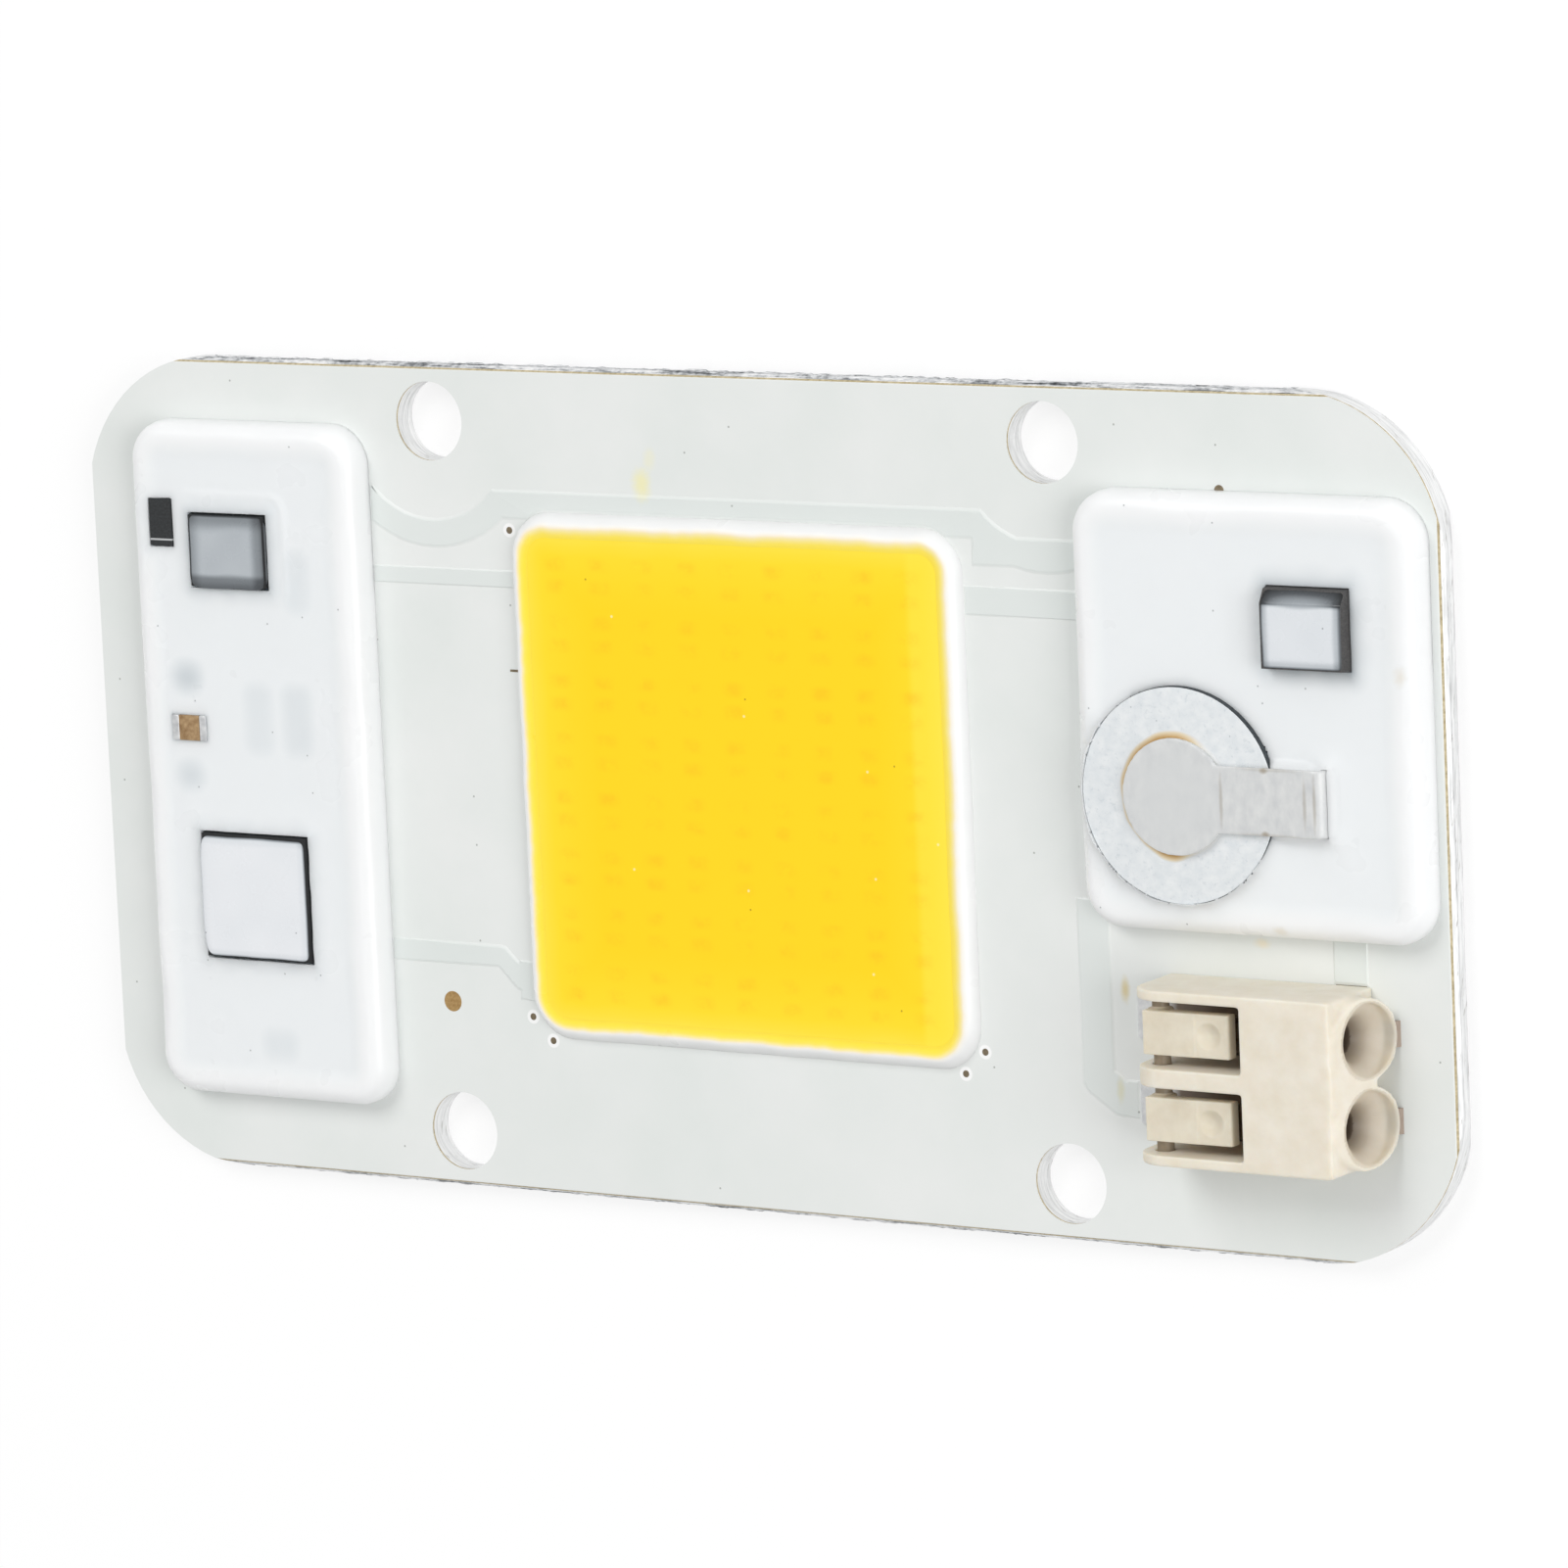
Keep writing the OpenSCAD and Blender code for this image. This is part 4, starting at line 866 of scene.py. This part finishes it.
# on the right it climbs the disc but for its upper right side, holds the strap's leg and lies up to its tab
legCfg = {"in": 0.125, "half": (0.15, 1.56), "tabHalf": 1.35}
discLow, discHigh = boxOf("varistor_disc")
strapLow, strapHigh = boxOf("varistor_strap")
discMid, discR = (discLow + discHigh) / 2, (discHigh.x - discLow.x) / 2
legMid = Vector((strapHigh.x - legCfg["in"], discMid.y, 0))
tabMid = Vector(((discMid.x + discR + strapHigh.x) / 2, discMid.y, 0))
rightIslands = [
    nodeIsland("bridge_rectifier", 0.1, 0.5, 0.4, 0.35, halo=0.16),
    {"mid": discMid, "radius": discR, "climb": 0.43, "reach": 0.4, "dark": 0.16, "glow": 0.3, "halo": 0.08,
     "bare": (0.6, 0.8), "dip": 0.55},
    {"mid": legMid, "half": Vector(legCfg["half"]), "climb": 0.3, "reach": 0.5, "dark": 0.04, "glow": 0.3},
]
tabHalf = Vector((tabMid.x - discMid.x - discR, legCfg["tabHalf"]))
tabMound = {"mid": tabMid, "half": tabHalf, "climb": 0.36, "reach": 0.7}
pourPotting("rightSilicone", "right_potting", rightIslands, [tabMound], [softBlot(34.5, 7.5, 1.2, 2.0, 0.03)])

# silicone skins on the three packages; in the order left, right, lower, upper: insets from the package's top
# and sides as (where the thin rim ends, where the cover is full, cover at the edge, cover at the rim's end);
# merge pulls the left edge out to the potting, bevel is the run and fall of a slope that the skin follows
skinCfg = {
    "driver_ic": {
        "inset": (-0.03, -0.08, -0.08, -0.03), "cover": 0.62, "corner": 0.55,
        "sides": ((0.14, 0.8, 0.0, 0.78), (0.4, 1.0, 0.36, 0.68),
                  (0.42, 0.75, 0.46, 0.58), (0.12, 0.9, 0.0, 0.66))},
    "power_ic": {
        "inset": (0.04, 0.1, 0.06, 0.11), "cover": 0.94, "corner": 0.35, "merge": 0.2,
        "sides": ((0.05, 0.2, 0.7, 0.9), (0.12, 0.5, 0.35, 0.86),
                  (0.1, 0.4, 0.5, 0.9), (0.12, 0.5, 0.35, 0.84))},
    "bridge_rectifier": {
        "inset": (0.06, -0.06, 0.06, 0.03), "cover": 0.83, "corner": 0.2, "bevel": (0.6, 0.45),
        "sides": ((0.1, 0.5, 0.2, 0.75), (0.2, 0.55, 0.3, 0.75),
                  (0.1, 0.5, 0.2, 0.8), (0.54, 0.85, 0.5, 0.6))},
}
sheetCfg = {"draft": 0.12, "cell": 0.06, "ragged": 0.04, "rim": 0.6, "lift": 0.008, "thick": 0.035,
            "under": 0.03, "droop": 0.12, "droopRun": 0.3, "mergeRun": 0.8}
draft = sheetCfg["draft"]
bm = bmesh.new()
cover = bm.verts.layers.float.new("cover")
for nodeName, cfg in skinCfg.items():
    low, high = boxOf(nodeName)
    left, right, lower, upper = cfg["inset"]
    skinLow = Vector((low.x + draft + left, low.y + draft + lower, 0))
    skinHigh = Vector((high.x - draft - right, high.y - draft - upper, 0))
    skinMid, skinHalf = midHalf(skinLow, skinHigh)
    for v in planGrid(bm, skinLow, skinHigh, cfg["corner"], sheetCfg["cell"]):
        x, y = v.co.x, v.co.y
        gaps = [x - skinLow.x, skinHigh.x - x, y - skinLow.y, skinHigh.y - y]
        edge = max(0, edgeDistance(x, y, skinMid, skinHalf, cfg["corner"]))
        wave = noise.noise(v.co * 0.6)
        hidden = cfg["cover"] * (1 + 0.04 * wave)
        for gap, (rimEnd, full, least, most) in zip(gaps, cfg["sides"]):
            thinRim = least + (most - least) * smoothStep(gap, 0, rimEnd)
            hidden *= thinRim + (1 - most) * smoothStep(gap, rimEnd, full * (1 + 0.2 * wave))
        if "bevel" in cfg and gaps[3] < cfg["bevel"][0]:  # the slope is bare towards its foot and its ends
            hidden *= smoothStep(gaps[3], -0.3, 0.5) * (1 - 0.75 * abs((x - skinMid.x) / skinHalf.x) ** 3)
        v[cover] = hidden
        ragged = sheetCfg["ragged"] * (1 - smoothStep(edge, 0, sheetCfg["rim"]))
        v.co.x += ragged * noise.noise(Vector((x, y * 0.5, 2)))
        v.co.y += ragged * noise.noise(Vector((x * 0.5, y, 4)))
        if "merge" in cfg:
            pull = cfg["merge"] * (1 - ((y - skinMid.y) / skinHalf.y) ** 4)
            v.co.x -= pull * (1 - smoothStep(gaps[0], 0, sheetCfg["mergeRun"]))
        v.co.z = high.z + sheetCfg["lift"] + sheetCfg["thick"] * smoothStep(edge, 0, 0.3) * (1 + 0.3 * wave)
        if "bevel" in cfg:
            run, fall = cfg["bevel"]
            v.co.z -= max(0, run - draft / 2 - gaps[3]) * fall / run
        elif right < 0:  # the skin hangs over the right edge
            v.co.z -= sheetCfg["droop"] * max(0, 1 - gaps[1] / sheetCfg["droopRun"]) ** 2
    verts, rim = drawOut(bm, openEdges(bm))
    for v in verts:
        v.co.z -= sheetCfg["under"]
    fillIn(bm, rim)
bmesh.ops.recalc_face_normals(bm, faces=bm.faces)
finishPiece("packageSkins", bm, [siliconeSkin], ["package_coats"])

# varistor: dark ceramic with silver faces, both with pressed round edges
discCfg = {"around": 96, "edge": 0.06, "silverIn": 0.025, "silverRound": 0.08, "lap": 0.01}


# closed ring or disc turned from a profile of (radius, height) about the disc's axis
def turned(bm, profile):
    points = [bm.verts.new((discMid.x + r, discMid.y, z)) for r, z in profile]
    edges = [bm.edges.new(pair) for pair in zip(points, points[1:])]
    bmesh.ops.spin(bm, geom=points + edges, cent=discMid, axis=(0, 0, 1), angle=2 * math.pi,
                   steps=discCfg["around"], use_merge=True)
    bmesh.ops.remove_doubles(bm, verts=bm.verts, dist=0.001)
    bmesh.ops.recalc_face_normals(bm, faces=bm.faces)


bm = bmesh.new()
r, e = discR, discCfg["edge"]
bottom, crown = discLow.z, discHigh.z
turned(bm, [(0, bottom), (r - e, bottom), (r - 0.3 * e, bottom + 0.3 * e), (r, bottom + e), (r, crown - e),
            (r - 0.3 * e, crown - 0.3 * e), (r - e, crown), (0, crown)])
finishPiece("varistorCeramic", bm, [zincOxide], ["varistor_disc"])
silverLow, silverHigh = boxOf("varistor_electrodes")
bm = bmesh.new()
r, e = discR - discCfg["silverIn"], discCfg["silverRound"]
base, top = crown - discCfg["lap"], silverHigh.z
turned(bm, [(0, base), (r, base), (r, top - e / 2), (r - 0.3 * e, top - 0.1 * e), (r - 2 * e, top), (0, top)])
turned(bm, [(0, silverLow.z), (r, silverLow.z), (r, bottom), (0, bottom)])
finishPiece("silverFaces", bm, [firedSilver], ["varistor_electrodes"])

# capacitor: tumbled ceramic and dipped ends
chipCfg = {"voxel": 0.045, "passes": 3}
for name, nodeName, mat, slot in (("capacitorBody", "ceramic_capacitor", brownCeramic, "capacitor"),
                                  ("capacitorEnds", "capacitor_caps", tinned, "tinned")):
    finishPiece(name, softened(nodeName, **chipCfg), [mat], [nodeName])

# strap pressed from strip, and the rosin that crept out from under its head, amber from one turn to another
strapCfg = {"voxel": 0.07, "passes": 3}
finishPiece("pressedStrap", softened("varistor_strap", **strapCfg), [tinnedStrap],
            ["varistor_strap"])
rosinCfg = {"around": 180, "across": 6, "under": 0.25, "width": 0.38, "rise": 0.1, "lap": 0.01,
            "amberFrom": (0.9, 1.6), "amberTo": (4.6, 5.2)}
headR = discMid.x - strapLow.x
bm = bmesh.new()
thick = bm.verts.layers.float.new("thick")
for v in unitGrid(bm, rosinCfg):
    turn, across = (v.co.x + 0.5) * 2 * math.pi, v.co.y + 0.5
    ring = Vector((math.cos(turn), math.sin(turn), 0))
    rough = 0.5 + 0.5 * noise.noise(ring * 2.3)
    amber = smoothStep(turn, *rosinCfg["amberFrom"]) * (1 - smoothStep(turn, *rosinCfg["amberTo"]))
    amber = min(1, amber * (0.55 + 0.6 * rough) + 0.12 * rough)
    creep = rosinCfg["width"] * (0.35 + 0.65 * amber) * (0.6 + 0.6 * rough)
    reach = headR - rosinCfg["under"] + across * (rosinCfg["under"] + creep)
    rise = rosinCfg["rise"] * (1 - across) ** 1.5
    v.co = (discMid.x + ring.x * reach, discMid.y + ring.y * reach, top + rise)
    v[thick] = amber * (1 - across) ** 0.8
bmesh.ops.remove_doubles(bm, verts=bm.verts, dist=0.002)
closeUnder(bm, top - rosinCfg["lap"])
finishPiece("rosinRing", bm, [rosinFlux], ["strap_solder"])

# terminal housing: its barrels run softly into the end wall, their mouths have a thin rim, and painted shade
# lies in the windows, throats and funnels
shellCfg = {
    "voxel": 0.07, "passes": 3, "wireZ": 3.4, "endLean": 0.324,
    "joinX": (32.95, 33.75), "joinAbove": 2.2, "joinOut": 1.66, "joinPasses": 14,
    "windowHalf": 1.62, "windowEnd": 28.7, "windowX": (22.9, 26.5), "windowDepth": (0.1, 1.8),
    "windowShade": 0.22,
    "throatEnd": 32.75, "throatR": 0.8, "throatShade": 0.95,
    "mouthX": (32.65, 33.9), "mouthR": 1.65, "mouthShade": 0.25, "innerShade": 0.62,
    "rimR": (1, 1.9), "rimX": (33.3, 33.9), "rimFade": (1.62, 1.9), "rimWiden": 0.17,
}
keyMids = [midHalf(*boxOf(f"release_key_{i}"))[0] for i in (1, 2)]
bm = softened("terminal_housing", shellCfg["voxel"], shellCfg["passes"])


def fromWires(v):
    return min(math.hypot(v.co.y - mid.y, v.co.z - shellCfg["wireZ"]) for mid in keyMids)


joinStart, joinEnd = shellCfg["joinX"]
joins = [v for v in bm.verts if joinStart < v.co.x < joinEnd and v.co.z > shellCfg["joinAbove"]
         and fromWires(v) > shellCfg["joinOut"]]
smoothed(bm, joins, shellCfg["joinPasses"])
paintedShade = bm.verts.layers.float.new("paintedShade")
roof = boxOf("terminal_housing")[1].z
rimIn, rimOut = shellCfg["rimR"]
# painted shade: darker deeper in the windows, near black in the throats, darker down the funnels
for v in bm.verts:
    x, y, z = v.co
    shading = 0
    for mid in keyMids:
        aside, up = y - mid.y, z - shellCfg["wireZ"]
        fromWire = math.hypot(aside, up)
        if abs(aside) < shellCfg["windowHalf"] and x < shellCfg["windowEnd"]:
            deep = smoothStep(roof - z, *shellCfg["windowDepth"]) * smoothStep(x, *shellCfg["windowX"])
            shading = max(shading, shellCfg["windowShade"] * deep)
        if shellCfg["windowEnd"] < x < shellCfg["throatEnd"] and fromWire < shellCfg["throatR"]:
            shading = shellCfg["throatShade"]
        flare = smoothStep(x, *shellCfg["mouthX"])
        funnelR = shellCfg["throatR"] + (shellCfg["mouthR"] - shellCfg["throatR"]) * flare
        if x >= shellCfg["mouthX"][0] and fromWire < funnelR:
            shading = max(shading, shellCfg["innerShade"] * (1 - flare) + shellCfg["mouthShade"])
        if rimIn < fromWire < rimOut:
            widen = shellCfg["rimWiden"] * smoothStep(x, *shellCfg["rimX"])
            widen *= (1 - smoothStep(fromWire, *shellCfg["rimFade"])) / fromWire
            v.co.y += aside * widen
            v.co.z += up * widen
            v.co.x -= up * widen * shellCfg["endLean"]
    v[paintedShade] = shading
finishPiece("terminalMoulding", bm, [housingMat], ["terminal_housing"])

# release keys: the finger end is a shade lower and dished; painted shade darkens their sides and pivot studs
keyCfg = {"voxel": 0.05, "passes": 3, "skin": (0.3, 0.6), "stepX": (25.94, 26.06), "stepDown": 0.035,
          "dipAt": 26.7, "dipR": 0.66, "dipDown": 0.17, "sideDepth": (0.15, 0.8), "sideAt": (0.8, 1.0),
          "sideShade": 0.42, "studAt": 1.1, "studShade": 0.75}
# clamp leaves: the foot stays on the contact sheet and the rest bends down under the key
for i, mid in enumerate(keyMids, 1):
    keyName = f"release_key_{i}"
    keyTop = boxOf(keyName)[1].z
    bm = softened(keyName, keyCfg["voxel"], keyCfg["passes"])
    paintedShade = bm.verts.layers.float.new("paintedShade")
    for v in bm.verts:
        x, y, z = v.co
        aside, below = abs(y - mid.y), keyTop - z
        upper = 1 - smoothStep(below, *keyCfg["skin"])
        dish = max(0, 1 - math.hypot(x - keyCfg["dipAt"], aside) ** 2 / keyCfg["dipR"] ** 2)
        v.co.z -= keyCfg["stepDown"] * smoothStep(x, *keyCfg["stepX"]) * upper
        v.co.z -= keyCfg["dipDown"] * dish ** 1.5 * upper
        # painted shade: darker down the sides towards the gaps, and darker still on the studs that sit in
        # them
        shading = keyCfg["sideShade"] * smoothStep(below, *keyCfg["sideDepth"])
        shading *= smoothStep(aside, *keyCfg["sideAt"])
        v[paintedShade] = keyCfg["studShade"] if aside > keyCfg["studAt"] else shading
    finishPiece(f"keyMoulding{i}", bm, [keyMat], [keyName], body=f"key_{i}")
    leaf = finishPiece(f"clampLeaf{i}", copyOf(f"clamp_spring_{i}"), [springSteel],
                       [f"clamp_spring_{i}"], angle=25)
    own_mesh(leaf)
